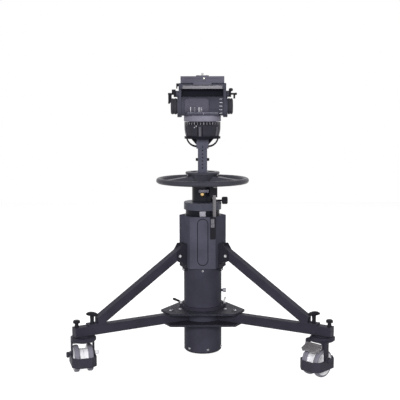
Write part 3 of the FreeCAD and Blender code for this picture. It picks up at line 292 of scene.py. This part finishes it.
soft_grip = finish_material("soft_knob_rubber", (0.034, 0.034, 0.041), 0.6, worn=(0.07, 0.068, 0.066),
                            spec=0.1, bump=0.08, grain=800, edge=1.4)
zinc = finish_material("bright_zinc", (0.55, 0.55, 0.57), 0.26, worn=(0.75, 0.75, 0.75), metal=1.0,
                       bump=0.01, vary=0.08, smear=0.06, edge=0.4)
dull_zinc = finish_material("worn_zinc_pedal", (0.31, 0.295, 0.315), 0.45, worn=(0.4, 0.39, 0.39),
                            metal=0.5, bump=0.35, vary=0.25, edge=0.7, extra=ribbed)
brass = finish_material("valve_brass", (0.66, 0.46, 0.2), 0.28, worn=(0.85, 0.68, 0.36), metal=1.0,
                        bump=0.01, vary=0.12, smear=0.06, edge=0.4)
aluminium = finish_material("brushed_aluminium", (0.4, 0.39, 0.45), 0.34, worn=(0.6, 0.6, 0.62),
                            metal=0.6, bump=0.012, vary=0.08, stretch=(14, 14, 1), smear=0.07, edge=0.3)
rule_metal = finish_material("height_rule", (0.15, 0.142, 0.15), 0.42, worn=(0.3, 0.3, 0.3), metal=0.1,
                             bump=0.006, vary=0.08, smear=0.06, edge=0.2, extra=ruled)
tyre_rubber = finish_material("grey_tyre", (0.2, 0.195, 0.235), 0.55, worn=(0.3, 0.29, 0.34), spec=0.3,
                              bump=0.05, vary=0.1, grain=600, edge=1.0)
hub_plastic = finish_material("white_hub", (0.84, 0.83, 0.86), 0.34, worn=(0.88, 0.88, 0.9), spec=0.4,
                              bump=0.01, vary=0.04, smear=0.06, edge=0.6)
mark_white = finish_material("printed_mark", (0.62, 0.62, 0.66), 0.5, vary=0.12, grain=2500, bump=0.01,
                             edge=0.05)
mark_dim = finish_material("dim_printed_mark", (0.2, 0.2, 0.23), 0.5, vary=0.12, grain=2500, bump=0.01,
                           edge=0.05)
strap_metal = finish_material("pale_strap_coat", (0.09, 0.087, 0.105), 0.42, worn=(0.2, 0.2, 0.22),
                              spec=0.12, bump=0.02, edge=0.3)
# Pale satin metal of the side stud's face, and the painted highlight on the plate at the neck ring.
badge_and_highlight_metal = finish_material("satin_badge_and_painted_highlight", (0.3, 0.29, 0.33), 0.42, worn=(0.5, 0.5, 0.52), metal=0.2,
                              spec=0.2, bump=0.012, vary=0.08, stretch=(14, 14, 1), smear=0.07,
                              edge=0.3)
window_metal = finish_material("speckled_scale_window", (0.17, 0.163, 0.185), 0.45,
                               worn=(0.3, 0.3, 0.32), spec=0.15, bump=0.05, grain=420, vary=0.35,
                               speck=1.0, speck_colour=(0.01, 0.01, 0.012), edge=0.2)
# Near-black finish: the print of the scale-window ticks, and painted shade standing in for the dark
# inside of hex sockets, post holes, the ball's slots and the sleeve's line.
black_print_and_painted_shade = finish_material("black_print_and_painted_shade", (0.004, 0.004, 0.005), 0.7, spec=0.1, grain=2500,
                              bump=0.01, edge=0.1)
pad_rubber = finish_material("ribbed_pad_rubber", (0.014, 0.014, 0.017), 0.75, worn=(0.03, 0.03, 0.03),
                             spec=0.15, bump=0.08, grain=900, edge=0.5)
vial_glass = finish_material("level_vial", (0.86, 0.9, 0.78), 0.08, spec=0.5, vary=0.05, bump=0.001,
                             smear=0.02, edge=0.2, coat=1.0)
strip_metal = finish_material("rough_strip_metal", (0.19, 0.183, 0.2), 0.5, worn=(0.3, 0.3, 0.32),
                              metal=0.1, spec=0.15, bump=0.15, grain=520, vary=0.3, speck=0.6,
                              speck_colour=(0.5, 0.49, 0.5))


# Mesh helpers

WELD = 1e-6  # metres between points that become one
SHARP = 38  # angle from which an edge stays sharp


def piece(name, verts, faces, material, body, smooth=True):
    """New object from points and faces, which rides on a body."""
    mesh = bpy.data.meshes.new(name)
    mesh.from_pydata([tuple(v) for v in verts], [], faces)
    work = bmesh.new()
    work.from_mesh(mesh)
    bmesh.ops.remove_doubles(work, verts=work.verts, dist=WELD)
    bmesh.ops.recalc_face_normals(work, faces=work.faces)
    work.to_mesh(mesh)
    work.free()
    made = bpy.data.objects.new(name, mesh)
    bpy.context.scene.collection.objects.link(made)
    mesh.materials.append(material)
    if smooth:
        mesh.shade_smooth()
        mesh.set_sharp_from_angle(angle=math.radians(SHARP))
    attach(made, body)
    return made


class Shape:
    """Collects the faces of one piece."""

    def __init__(self):
        self.verts, self.faces = [], []

    def grid(self, rows, close_rows=False, close_columns=True):
        """Skin over rows of points, one ring after another."""
        start = len(self.verts)
        n = len(rows[0])
        self.verts += [p for row in rows for p in row]
        for i in range(len(rows) if close_rows else len(rows) - 1):
            j = (i + 1) % len(rows)
            for k in range(n if close_columns else n - 1):
                m = (k + 1) % n
                self.faces.append([start + i * n + k, start + i * n + m,
                                   start + j * n + m, start + j * n + k])

    def cap(self, corners, rows):
        """Close both ends of the grid just made, which has these numbers of corners and rows."""
        first = len(self.verts) - corners * rows
        last = len(self.verts) - corners
        self.faces.append([first + k for k in range(corners)])
        self.faces.append([last + k for k in range(corners)])

    def turned(self, centre, axis, profile, steps=48):
        """Turned form: profile of (radius, distance along the axis) in mm round a centre."""
        up = Vector(axis).normalized()
        side = up.orthogonal().normalized()
        other = up.cross(side)
        rows = []
        for r, h in profile:
            ring = []
            for k in range(steps):
                a = 2 * math.pi * k / steps
                spoke = side * math.cos(a) + other * math.sin(a)
                ring.append(centre + spoke * (r * MM) + up * (h * MM))
            rows.append(ring)
        self.grid(rows)

    def block(self, centre, x, y, z, size, round_by=0.0):
        """Box with chamfered edges on the given axes, sizes in mm."""
        hx, hy, hz = (s * MM / 2 for s in size)
        c = round_by * MM
        rows = []
        for z_at, inset in ((-hz, c), (-hz + c, 0), (hz - c, 0), (hz, c)):
            a, b = hx - inset, hy - inset
            ring = [(a - c, -b), (a, -b + c), (a, b - c), (a - c, b),
                    (-a + c, b), (-a, b - c), (-a, -b + c), (-a + c, -b)]
            rows.append([centre + x * p + y * q + z * z_at for p, q in ring])
        self.grid(rows)
        self.cap(8, 4)

    def panel(self, centre, size, round_by):
        """Upright plate that faces the front, sizes as width, height and thickness."""
        self.block(centre, RIGHT, UP, BACK, size, round_by)

    def make(self, name, material, body, smooth=True):
        return piece(name, self.verts, self.faces, material, body, smooth)


# Carried-over nodes

looks = {
    "column_tube": tube_paint, "column_cap": plastic, "body_screws": zinc, "frame_bolts": zinc,
    "base_plate_lower": plate_paint, "base_plate_upper": plate_paint, "brace_brackets": bracket_paint,
    "tube_ring": paint, "sleeve": sleeve_paint, "collar": collar_metal, "scale_block": plastic,
    "inner_column": gloss_tube, "air_valve": brass, "height_scale": rule_metal,
    "steering_ring": ring_paint, "neck_post": neck_paint, "cross_pin": plastic,
    "bowl_ring": dark_coat_and_painted_shade, "half_ball": ball_paint, "pan_base": band_metal,
    "tilt_drum": head_paint, "pan_drag_ring": plastic, "tilt_frame": head_paint,
    "camera_plate": top_plate_paint, "camera_screw": zinc, "plate_lever": plastic,
    "tilt_drag_knob_left": soft_grip, "tilt_drag_knob_right": soft_grip,
    "bar_clamp_left": plastic, "bar_clamp_right": plastic, "column_brake_knob": plastic,
    "ring_lever_left": zinc, "ring_lever_right": zinc,
}
for i in ARMS:
    looks[f"arm_{i}"] = paint
    looks[f"brace_{i}"] = paint
    looks[f"tee_knob_{i}"] = plastic
    looks[f"lock_knob_{i}"] = plastic
    looks[f"caster_fork_{i}"] = paint
    looks[f"caster_guard_{i}"] = guard_plastic
    looks[f"brake_pedal_{i}"] = dull_zinc
    looks[f"caster_tyres_{i}"] = tyre_rubber
    looks[f"caster_hubs_{i}"] = hub_plastic
for name, material in looks.items():
    nodes[name].data.materials.clear()
    nodes[name].data.materials.append(material)


# Casters. A profile holds the radius and the distance along the axis, in mm.

TYRE = [(42.1, -9.1), (44.4, -9.5), (47, -8.9), (48.8, -7.2), (49.8, -4.6), (50, -1.6), (49.6, -1.0),
        (49.6, 1.0), (50, 1.6), (49.8, 4.6), (48.8, 7.2), (47, 8.9), (44.4, 9.5), (42.1, 9.1)]
WHEEL_CENTRE = [(6.1, -24.6), (34.8, -24.6), (34.8, -8.8), (38, -9.1), (42.0, -9.1), (42.0, 9.1),
                (39.8, 9.4), (37.4, 8.4), (33.6, 6.3), (15, 6.3), (12.6, 7.2), (11.8, 11.0),
                (6.1, 11.2)]
BEARING_CAP = [(10.2, 11.1), (10.2, 11.8), (8.6, 12.3), (6.1, 12.3)]
STUB_CAP = [(TIP, 0), (8.4, 0), (8.4, 1.2), (6.9, 2), (6.9, 10.8), (6.0, 12.6), (3, 13.1), (TIP, 13.1)]
PEDAL_SLEEVE = [(4.2, -36.5), (8.6, -36.5), (8.9, -35.9), (8.9, -33), (8.3, -32.4), (8.3, 32.4),
                (8.9, 33), (8.9, 35.9), (8.6, 36.5), (4.2, 36.5)]
CLAMP_SCREW = [(TIP, 0.1), (9.4, 0.1), (9.4, 2.2), (8.4, 3), (7.8, 3.4), (7.2, 12), (7.6, 22), (8, 29)]
SPOKES = 6
GUARD_SCREW_Z = 66
PEDAL_PIN_AHEAD, PEDAL_PIN_Z = 16, 114  # from the axle, and above the floor


def caster_axes(i):
    """Where a caster's swivel axis meets the floor, and its forward and side directions."""
    return polar(SWIVEL_R, ARMS[i], 0), flat(TRAILS[i]), flat(TRAILS[i] + 90)


def wheels(i):
    """Round-shouldered tyres and ribbed white wheel centres of one caster."""
    foot, ahead, side = caster_axes(i)
    tyre, hub, caps = Shape(), Shape(), Shape()
    spoke_start, spoke_middle, spoke_out, spoke_size = 12, 24, 7.1, (3.2, 22, 3.6)
    for s in (-1, 1):
        centre = foot + ahead * (TRAIL * MM) + side * (s * HALF_TRACK * MM) + UP * (WHEEL_R * MM)
        out = side * s
        tyre.turned(centre, out, TYRE, steps=96)
        hub.turned(centre, out, WHEEL_CENTRE, steps=72)
        for k in range(SPOKES):
            spoke = Matrix.Rotation(math.radians(360 / SPOKES * k + spoke_start), 3, out) @ UP
            middle = centre + spoke * (spoke_middle * MM) + out * (spoke_out * MM)
            hub.block(middle, out.cross(spoke), spoke, out, spoke_size, round_by=0.7)
        caps.turned(centre, out, BEARING_CAP, steps=36)
    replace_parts(tyre.make(f"tyres_{i}", tyre_rubber, f"wheels_{i}"),
                        f"caster_tyres_{i}")
    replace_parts(hub.make(f"wheel_centres_{i}", hub_plastic, f"wheels_{i}"),
                        f"caster_hubs_{i}")
    caps.make(f"bearing_caps_{i}", aluminium, f"wheels_{i}")


def caster_trim(i):
    """Pale cap on the guard's stub and ribs round its thumb screw."""
    foot, ahead, side = caster_axes(i)
    screw = foot + ahead * (TRAIL * MM) + UP * (GUARD_SCREW_Z * MM)
    stub_out, knob_out = 45.1, 54.8
    rib_count, rib_radius, rib_size = 18, 10.35, (1.3, 1.1, 5.2)
    stub = Shape()
    stub.turned(screw - side * (stub_out * MM), -side, STUB_CAP, steps=40)
    stub.make(f"guard_stub_cap_{i}", hub_plastic, f"caster_{i}")
    ribs = Shape()
    for k in range(rib_count):
        lean = Matrix.Rotation(math.radians(360 / rib_count * k), 3, side) @ UP
        centre = screw + side * (knob_out * MM) + lean * (rib_radius * MM)
        ribs.block(centre, side.cross(lean), lean, side, rib_size, round_by=0.3)
    ribs.make(f"guard_knob_ribs_{i}", plastic, f"caster_{i}")


def pedal_sleeve(i):
    """Tube round the pedal's pin, from one fork leg to the other, with its two end collars."""
    foot, ahead, side = caster_axes(i)
    pin = foot + ahead * ((TRAIL + PEDAL_PIN_AHEAD) * MM) + UP * (PEDAL_PIN_Z * MM)
    shape = Shape()
    shape.turned(pin, side, PEDAL_SLEEVE, steps=40)
    shape.make(f"pedal_sleeve_{i}", dull_zinc, f"brake_{i}")


def squared(value):
    """Sine or cosine made fuller, so that a circle turns into a rounded square."""
    return math.copysign(abs(value) ** 0.8, value)


def tee_handle(i):
    """Clamp screw with a smooth domed cross handle."""
    radius, arm_top = 469, 184
    half_length, half_width, top, belly = 25, 9, 43, 26.6
    top_fall, belly_rise = 7.2, 3.4
    steps, corners = 26, 28
    twist = -35 if i == 2 else 35
    base = polar(radius, ARMS[i], arm_top)
    along = flat(ARMS[i] + twist + 90)
    across = flat(ARMS[i] + twist)
    rows = []
    for k in range(steps + 1):
        t = math.cos(math.pi * k / steps)
        reach = abs(t)
        half = half_width * math.sqrt(max(0.02, 1 - reach ** 6))
        high = top - top_fall * reach ** 2.2
        low = belly + belly_rise * reach ** 3
        middle = (high + low) / 2
        thick = (high - low) / 2 * max(0.25, math.sqrt(max(0.0, 1 - reach ** 10)))
        row = []
        for m in range(corners):
            b = 2 * math.pi * m / corners
            wide = half * squared(math.cos(b)) * MM
            tall = (middle + thick * squared(math.sin(b))) * MM
            row.append(base + along * (half_length * t * MM) + across * wide + UP * tall)
        rows.append(row)
    shape = Shape()
    shape.grid(rows)
    shape.turned(base, UP, CLAMP_SCREW, steps=36)
    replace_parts(shape.make(f"tee_handle_{i}", plastic, f"foot_clamp_{i}"),
                        f"tee_knob_{i}")


def lock_ribs(i):
    """Grip ribs round the small knob on an arm's end."""
    foot = polar(529, ARMS[i], 178)
    rib_count, rib_radius, rib_z, rib_size = 24, 12.2, 19.6, (1.0, 1.4, 8.2)
    ribs = Shape()
    for k in range(rib_count):
        out = flat(360 / rib_count * k)
        centre = foot + out * (rib_radius * MM) + UP * (rib_z * MM)
        ribs.block(centre, out, out.cross(UP), UP, rib_size, round_by=0.3)
    ribs.make(f"lock_knob_ribs_{i}", plastic, f"direction_lock_{i}")


for i in ARMS:
    wheels(i)
    caster_trim(i)
    pedal_sleeve(i)
    tee_handle(i)
    lock_ribs(i)


# Fasteners

def sockets():
    """Dark hexagons laid on the button heads and bolt heads of the fixed frame: painted shade standing
    in for their sockets.
    """
    tube_face, bracket_face, bolt_face = 77.02, 89.02, 191.02
    foot_z, bracket_z = 31, 344
    small, large = 2.0, 3.0
    between_arms = (270, 30, 150)
    bolt_radii = (99, 141)
    hexes = [(polar(tube_face, 225 + 60 * k, foot_z), flat(225 + 60 * k), small) for k in range(6)]
    hexes += [(polar(tube_face, a, bracket_z), flat(a), small) for a in between_arms]
    hexes += [(polar(bracket_face, a, bracket_z), flat(a), small) for a in ARMS.values()]
    for a in ARMS.values():
        hexes += [(polar(r, a, bolt_face), UP, large) for r in bolt_radii]
    shape = Shape()
    for centre, out, r in hexes:
        shape.turned(centre, out, [(TIP, 0.02), (r, 0.02), (r * 1.12, 0.12), (r * 1.2, 0.02)], steps=6)
    shape.make("hex_socket_painted_shade", black_print_and_painted_shade, "base", smooth=False)


sockets()


# Column top

RIVET = [(1.5, 0), (1.3, 0.5), (0.6, 0.8), (TIP, 0.8)]
LEVER_GRIP = [(3.6, 0), (4.1, 0.6), (4.3, 6), (4.5, 20), (5.0, 26), (4.6, 30.2), (3.0, 32.4), (TIP, 33)]
# Profile of the dark discs that paint shade into the post holes.
HOLE_SHADE_DISC = [(2.55, 0), (2.55, 0.5), (1.8, 0.7), (TIP, 0.7)]
STUD_CAP = [(8.15, -12.2), (8.3, -11.8), (8.3, -0.6), (7.6, 0.25), (TIP, 0.25)]


def neck_highlight_plate():
    """Pale plate with two rivets on the neck ring: painted highlight where the neck shows a bright
    reflection.
    """
    middle = place(0, -68.0, 563.6)
    thick, rivet_x = 1.2, 9.4
    shape = Shape()
    shape.panel(middle, (23, 20, thick), round_by=0.4)
    for s in (-1, 1):
        rivet = middle + Vector((s * rivet_x * MM, -thick / 2 * MM, 0))
        shape.turned(rivet, FRONT, RIVET, steps=20)
    shape.make("neck_highlight_plate", badge_and_highlight_metal, "base")


def scale_window():
    """Pale strip with plain ticks on the scale block."""
    middle = place(RULE_LEFT - 1.3, -86.1, 531)
    tick_left, tick_front = -5.6, -0.32
    tick_count, first, spacing = 9, -15, 3.7
    strip, ticks = Shape(), Shape()
    strip.panel(middle, (13, 34, 0.5), round_by=0.12)
    for k in range(tick_count):
        long = 9.5 if k % 4 == 0 else 6.0
        offset = Vector((tick_left + long / 2, tick_front, first + spacing * k)) * MM
        ticks.panel(middle + offset, (long, 0.8, 0.2), round_by=0.05)
    strip.make("scale_window", window_metal, "base")
    ticks.make("scale_window_ticks", black_print_and_painted_shade, "base", smooth=False)


def column_plate():
    """Pale bare plate above the air valve."""
    shape = Shape()
    shape.panel(place(4.8, -42.35, 649), (38, 10.5, 0.6), round_by=0.2)
    shape.make("column_plate", band_metal, "lift")


def brake_knob_ribs():
    """Grip ribs round the column brake knob."""
    knob = place(86.5, 0, 609)
    rib_count, rib_radius, rib_size = 22, 13.9, (1.5, 1.3, 16.5)
    shape = Shape()
    for k in range(rib_count):
        lean = Matrix.Rotation(2 * math.pi * k / rib_count, 3, RIGHT) @ UP
        centre = knob + lean * (rib_radius * MM)
        shape.block(centre, RIGHT.cross(lean), lean, RIGHT, rib_size, round_by=0.35)
    shape.make("brake_knob_ribs", plastic, "column_brake")


def lever_grip():
    """Black sleeve on the left clamp lever's handle."""
    slope, turn = Vector((-36, 0, 9)), -28
    bare_part = 9
    along = Matrix.Rotation(math.radians(turn), 3, "Z") @ slope.normalized()
    start = place(-83, 0, 203.2) + along * (bare_part * MM)
    shape = Shape()
    shape.turned(start, along, LEVER_GRIP, steps=28)
    shape.make("left_lever_grip", plastic, "left_ring_lever")


def panel_line_painted_shade():
    """Dark strip along the long round-ended line on the front of the sleeve: painted shade of the
    line's groove.
    """
    end_radius, half_straight, middle_z, half_line = 20.0, 70.0, 456.0, 1.3
    back, front = -77.6, -78.12
    inner, outer = end_radius - half_line, end_radius + half_line
    steps = 64
    rows = []
    for step in range(steps):
        turn = 2 * math.pi * step / steps
        ends = half_straight if math.sin(turn) >= 0 else -half_straight
        row = []
        for radius, y in ((inner, back), (inner, front), (outer, front), (outer, back)):
            z = middle_z + ends + radius * math.sin(turn)
            row.append(place(radius * math.cos(turn), y, z))
        rows.append(row)
    shape = Shape()
    shape.grid(rows, close_rows=True)
    shape.make("panel_line_painted_shade", black_print_and_painted_shade, "base", smooth=False)


def post_holes():
    """Dark discs just inside the row of blind holes in the neck post: painted shade of the holes."""
    hole_count, top_hole, spacing, inset = 7, 818.0, 13.5, 1.2
    top_block_z, top_block_face, post_face = 812, 23.5, 18.0
    shape = Shape()
    for k in range(hole_count):
        z = top_hole - spacing * k
        face = top_block_face if z > top_block_z else post_face
        shape.turned(place(0, inset - face, z), FRONT, HOLE_SHADE_DISC, steps=24)
    shape.make("post_hole_painted_shade", black_print_and_painted_shade, "lift")


def stud_face():
    """Pale face on the stud at the right side of the tube."""
    shape = Shape()
    shape.turned(place(92, 0, 252), RIGHT, STUD_CAP, steps=32)
    shape.make("side_stud_cap", badge_and_highlight_metal, "base")


neck_highlight_plate()
scale_window()
panel_line_painted_shade()
post_holes()
stud_face()
column_plate()
brake_knob_ribs()
lever_grip()


# Head

BALL_Z = 859  # lower edge of the half ball
BALL_ARC, BALL_ARC_Z, BALL_ARC_IN = 122.49, 38.16, 52.89  # radius and centre of its outline
FRONT_STRAP = 262
BAR_GRIP = [(TIP, -3), (5.2, -2.4), (5.8, 0), (5.0, 8), (4.6, 22), (5.6, 30), (4.4, 34.5), (TIP, 35)]
INDEX_DOT = [(1.7, -0.6), (1.7, 0.1), (1.3, 0.3), (TIP, 0.3)]
LEVEL_COLLAR = [(4.4, -0.4), (4.4, 0.6), (3.9, 0.9), (3.2, 0.9), (3.1, 0.3)]
VIAL_END = [(3.15, 0.3), (2.6, 0.75), (1.4, 0.95), (TIP, 1.0)]


def curved_mark(shape, x0, x1, radius, angle, width, thick):
    """Thin raised bar lying on the drum, along the tilt axis."""
    half = math.degrees(width / 2 / radius)
    inner, outer = radius - 0.1, radius + thick
    outline = [(inner, -half), (outer, -half * 0.8), (outer, half * 0.8), (inner, half)]
    rows = []
    for x in (x0, x1):
        row = []
        for r, turn in outline:
            a = math.radians(angle + turn)
            row.append(place(x, -r * math.cos(a), TILT_Z + r * math.sin(a)))
        rows.append(row)
    shape.grid(rows)
    shape.cap(4, 2)


def drum_marks():
    """Five balance bars at the right, and the plain indicator bars low on the panel."""
    drum_radius, panel_radius = 45.3, 48.5
    bars_left, bars_right = 64.6, 75.4
    bars = Shape()
    for k in range(5):
        angle = 36 - 18 * k
        curved_mark(bars, bars_left, bars_right, drum_radius, angle, width=1.8, thick=0.25)
    bars.make("balance_bars", mark_white, "pan")
    panel = Shape()
    for x, wide in ((-45, 2.6), (-29, 1.0), (-15, 1.6), (-10.5, 1.6)):
        for step in range(5):
            angle = -24 + 4.2 * step
            left, right = x - wide / 2, x + wide / 2
            curved_mark(panel, left, right, panel_radius, angle, width=3.8, thick=0.2)
    for step in range(3):
        angle = -22 + 7 * step
        curved_mark(panel, -6.5, -1.5, panel_radius, angle, width=1.8, thick=0.2)
    panel.make("panel_indicator_bars", mark_white, "pan")


def drum_panel():
    """Lighter speckled face on the drum's raised panel, with rounded corners."""
    left, right, half, corner = -66.2, 23.2, 28.6, 11.0
    radius, lift, slope = 48.0, 0.35, 0.3
    steps = 24
    rows = []
    for step in range(steps + 1):
        z = half * math.cos(math.pi * step / steps)
        past = max(0.0, abs(z) - half + corner)
        inset = corner - math.sqrt(max(0.0, corner ** 2 - past ** 2))
        y = -math.sqrt(radius ** 2 - z ** 2)
        out = Vector((0, y, z)).normalized() * lift
        low, high = (y, TILT_Z + z), (y + out.y, TILT_Z + z + out.z)
        rows.append([place(left + inset, *low), place(left + inset + slope, *high),
                     place(right - inset - slope, *high), place(right - inset, *low)])
    shape = Shape()
    shape.grid(rows, close_columns=False)
    shape.make("drum_panel_face", panel_paint, "pan")


def ball_radius(h, grow=1.0):
    """Radius of the half ball at a height in mm above its lower edge, grown for the straps."""
    h = h / grow
    return grow * (math.sqrt(BALL_ARC ** 2 - (h - BALL_ARC_Z) ** 2) - BALL_ARC_IN)


def ball_strip(shape, angle, shift, width, grow, low, high):
    """Thin strip up the half ball, beside the middle of a strap by the shift in mm."""
    out, across = flat(angle), flat(angle + 90)
    half_thick, steps = 0.3, 10
    inner, outer = -half_thick, half_thick
    rows = []
    for step in range(steps + 1):
        h = low + (high - low) * step / steps
        r = ball_radius(h, grow)
        row = []
        for side, lift in ((-1, inner), (-1, outer), (1, outer), (1, inner)):
            off = shift + side * width / 2
            reach = math.sqrt(r ** 2 - off ** 2) + lift
            row.append(place(0, 0, BALL_Z + h) + out * (reach * MM) + across * (off * MM))
        rows.append(row)
    shape.grid(rows)
    shape.cap(4, steps + 1)


def ball_straps():
    """Pale plates on the six straps, and dark strips beside the front one, painted shade of its slots.
    """
    caps, slot_shade = Shape(), Shape()
    for k in range(6):
        angle = FRONT_STRAP + 60 * k
        ball_strip(caps, angle, shift=0, width=8.6, grow=1.023, low=1.5, high=36.5)
    for side in (-1, 1):
        ball_strip(slot_shade, FRONT_STRAP, shift=side * 8.6, width=2.8, grow=1.0, low=2.0, high=37.5)
    caps.make("ball_strap_plates", strap_metal, "lift")
    slot_shade.make("ball_slot_painted_shade", black_print_and_painted_shade, "lift")


def drag_ticks():
    """Light ticks round the pan drag ring and the index dots below."""
    tick_count, tick_radius, tick_z, dot_radius = 36, 69.3, 908.6, 69.7
    ticks = Shape()
    for k in range(tick_count):
        angle = 4 + 360 / tick_count * k
        out = flat(angle)
        wide = 2.2 if k % 3 else 3.2
        centre = polar(tick_radius, angle, tick_z)
        ticks.block(centre, out, out.cross(UP), UP, (0.9, wide, 9.4), round_by=0.25)
    ticks.make("drag_ring_ticks", mark_dim, "pan_drag")
    dots = Shape()
    for x, z in ((-30.5, 893.5), (-24, 898.5)):
        y = -math.sqrt(dot_radius ** 2 - x ** 2)
        dots.turned(place(x, y, z), Vector((x, y, 0)).normalized(), INDEX_DOT, steps=20)
    dots.make("index_dots", mark_white, "lift")


def saddle_shade():
    """Black sheet on the face between the platform and the drum: painted shade under the platform's
    edge.
    """
    shape = Shape()
    shape.panel(place(0, -34.3, 1024.8), (159, 25.4, 0.7), round_by=0.2)
    shape.make("saddle_painted_shade", dark_coat_and_painted_shade, "tilt")


def foot_ledge():
    """Pale ledge with a small pointer at the front of the drum's foot."""
    shape = Shape()
    shape.panel(place(2, -59.2, 948.5), (116, 2.6, 1.4), round_by=0.4)
    shape.panel(place(4, -59.4, 946), (3.2, 8, 2.0), round_by=0.5)
    shape.make("foot_ledge", band_metal, "pan")


def clamp_grip():
    """Black plastic grip on the left pan bar clamp's lever."""
    shape = Shape()
    shape.turned(place(-122.6, -10, 1022), -UP, BAR_GRIP, steps=28)
    shape.make("left_clamp_grip", plastic, "left_bar_clamp")


def front_strip():
    """Rough metal strip under the front edge of the camera platform."""
    shape = Shape()
    shape.panel(place(0, -67.2, 1044.6), (149.4, 12, 0.7), round_by=0.25)
    shape.make("front_strip", strip_metal, "tilt")


def camera_pad():
    """Ribbed rubber strips on the camera plate."""
    rib_count, first_y, spacing, side_x, top = 19, -66, 7.3, 17, 1088.2
    shape = Shape()
    for s in (-1, 1):
        for k in range(rib_count):
            centre = place(s * side_x, first_y + k * spacing, top)
            shape.block(centre, RIGHT, BACK, UP, (10, 4.2, 0.9), round_by=0.25)
    shape.make("camera_pad_ribs", pad_rubber, "plate")


def level_bubble():
    """Bubble level on the front of the camera plate: bright vial end in a dark collar."""
    centre = place(6, -77.5, 1077)
    collar, vial = Shape(), Shape()
    collar.turned(centre, FRONT, LEVEL_COLLAR, steps=36)
    vial.turned(centre, FRONT, VIAL_END, steps=30)
    collar.make("level_collar", band_metal, "plate")
    vial.make("level_vial_end", vial_glass, "plate")


saddle_shade()
foot_ledge()
clamp_grip()
drum_panel()
ball_straps()
drum_marks()
drag_ticks()
front_strip()
camera_pad()
level_bubble()


# Camera, from the fit to the photograph

SENSOR_WIDTH = 36.0
PICTURE_WIDTH = 400  # pixels
FOCAL_LENGTH = 760.6  # pixels
VIEWPOINT = (-10.04, -2951.5, 947.6)
PITCH, ROLL = -6.514, -0.128

camera = bpy.data.cameras.new("camera")
camera.sensor_width = SENSOR_WIDTH
camera.lens = SENSOR_WIDTH * FOCAL_LENGTH / PICTURE_WIDTH
view = bpy.data.objects.new("camera", camera)
bpy.context.scene.collection.objects.link(view)
view.location = place(*VIEWPOINT)
nod = Matrix.Rotation(math.pi / 2 + math.radians(PITCH), 3, "X")
lean = Matrix.Rotation(math.radians(ROLL), 3, "Z")
view.rotation_euler = (nod @ lean).to_euler()
bpy.context.scene.camera = view


# Floor, light and background, in metres and watts

FLOOR_HALF = 5.0
AIM = (0, -0.1, 0.6)
SIDE_LAMP = (1.2, 1.6)


def seen(tree):
    """1 where the eye sees the background itself or its mirror image, 0 where it only gives light."""
    path = node(tree, "ShaderNodeLightPath")
    mirrored = maths(tree, "MAXIMUM", path.outputs["Is Glossy Ray"],
                     path.outputs["Is Transmission Ray"])
    return maths(tree, "MAXIMUM", path.outputs["Is Camera Ray"], mirrored)


def floor_material():
    """White where it is seen, and plain grey for the light that it returns to the object."""
    material = bpy.data.materials.new("pale_floor")
    material.use_nodes = True
    tree = material.node_tree
    tree.nodes.clear()
    out = tree.nodes.new("ShaderNodeOutputMaterial")
    coords = node(tree, "ShaderNodeTexCoord").outputs["Object"]
    tone = spots(tree, coords, 3.0, detail=3.0)
    shade = mixed(tree, tone, (0.33, 0.33, 0.33, 1), (0.37, 0.37, 0.37, 1))
    plain = node(tree, "ShaderNodeBsdfDiffuse", None, Color=shade)
    pale = node(tree, "ShaderNodeBsdfDiffuse", None, Color=(0.3, 0.3, 0.3, 1))
    glow = node(tree, "ShaderNodeEmission", None, Color=(1, 1, 1, 1), Strength=0.94)
    lit = node(tree, "ShaderNodeAddShader", None, i0=pale.outputs[0], i1=glow.outputs[0])
    both = node(tree, "ShaderNodeMixShader", None, i0=seen(tree), i1=plain.outputs[0],
                i2=lit.outputs[0])
    tree.links.new(both.outputs[0], out.inputs[0])
    return material


def floor():
    """Square of floor under the casters."""
    mesh = bpy.data.meshes.new("floor")
    corners = [(-FLOOR_HALF, -FLOOR_HALF, 0), (FLOOR_HALF, -FLOOR_HALF, 0),
               (FLOOR_HALF, FLOOR_HALF, 0), (-FLOOR_HALF, FLOOR_HALF, 0)]
    mesh.from_pydata(corners, [], [[0, 1, 2, 3]])
    mesh.materials.append(floor_material())
    made = bpy.data.objects.new("floor", mesh)
    bpy.context.scene.collection.objects.link(made)


def world():
    """White where it is seen, and dim for the light that it gives."""
    made = bpy.data.worlds.new("studio")
    made.use_nodes = True
    tree = made.node_tree
    tree.nodes.clear()
    out = tree.nodes.new("ShaderNodeOutputWorld")
    dim = node(tree, "ShaderNodeBackground", None, Color=(0.96, 0.97, 1.0, 1), Strength=0.1)
    bright = node(tree, "ShaderNodeBackground", None, Color=(1, 1, 1, 1), Strength=1.0)
    both = node(tree, "ShaderNodeMixShader", None, i0=seen(tree), i1=dim.outputs[0],
                i2=bright.outputs[0])
    tree.links.new(both.outputs[0], out.inputs[0])
    bpy.context.scene.world = made


def lamp(name, at, aim, size, power):
    """Soft box that lights the object and isn't mirrored in it."""
    light = bpy.data.lights.new(name, "AREA")
    light.shape = "RECTANGLE"
    light.size, light.size_y = size
    light.energy = power
    made = bpy.data.objects.new(name, light)
    bpy.context.scene.collection.objects.link(made)
    made.location = Vector(at)
    made.rotation_euler = (Vector(aim) - Vector(at)).to_track_quat("-Z", "Y").to_euler()
    made.visible_glossy = False


floor()
world()
lamp("front_softbox", (-0.3, -3.9, 1.6), AIM, (1.4, 1.2), 158)
lamp("left_softbox", (-2.9, 1.5, 1.9), AIM, SIDE_LAMP, 30)
lamp("right_softbox", (2.9, 1.5, 1.9), AIM, SIDE_LAMP, 26)
lamp("back_softbox", (0.3, 2.6, 2.9), AIM, (1.2, 1.0), 70)
lamp("top_softbox", (0, 0.8, 3.0), (0, 0, 0.5), (2.0, 2.0), 8)

bpy.context.scene.view_settings.view_transform = "Standard"
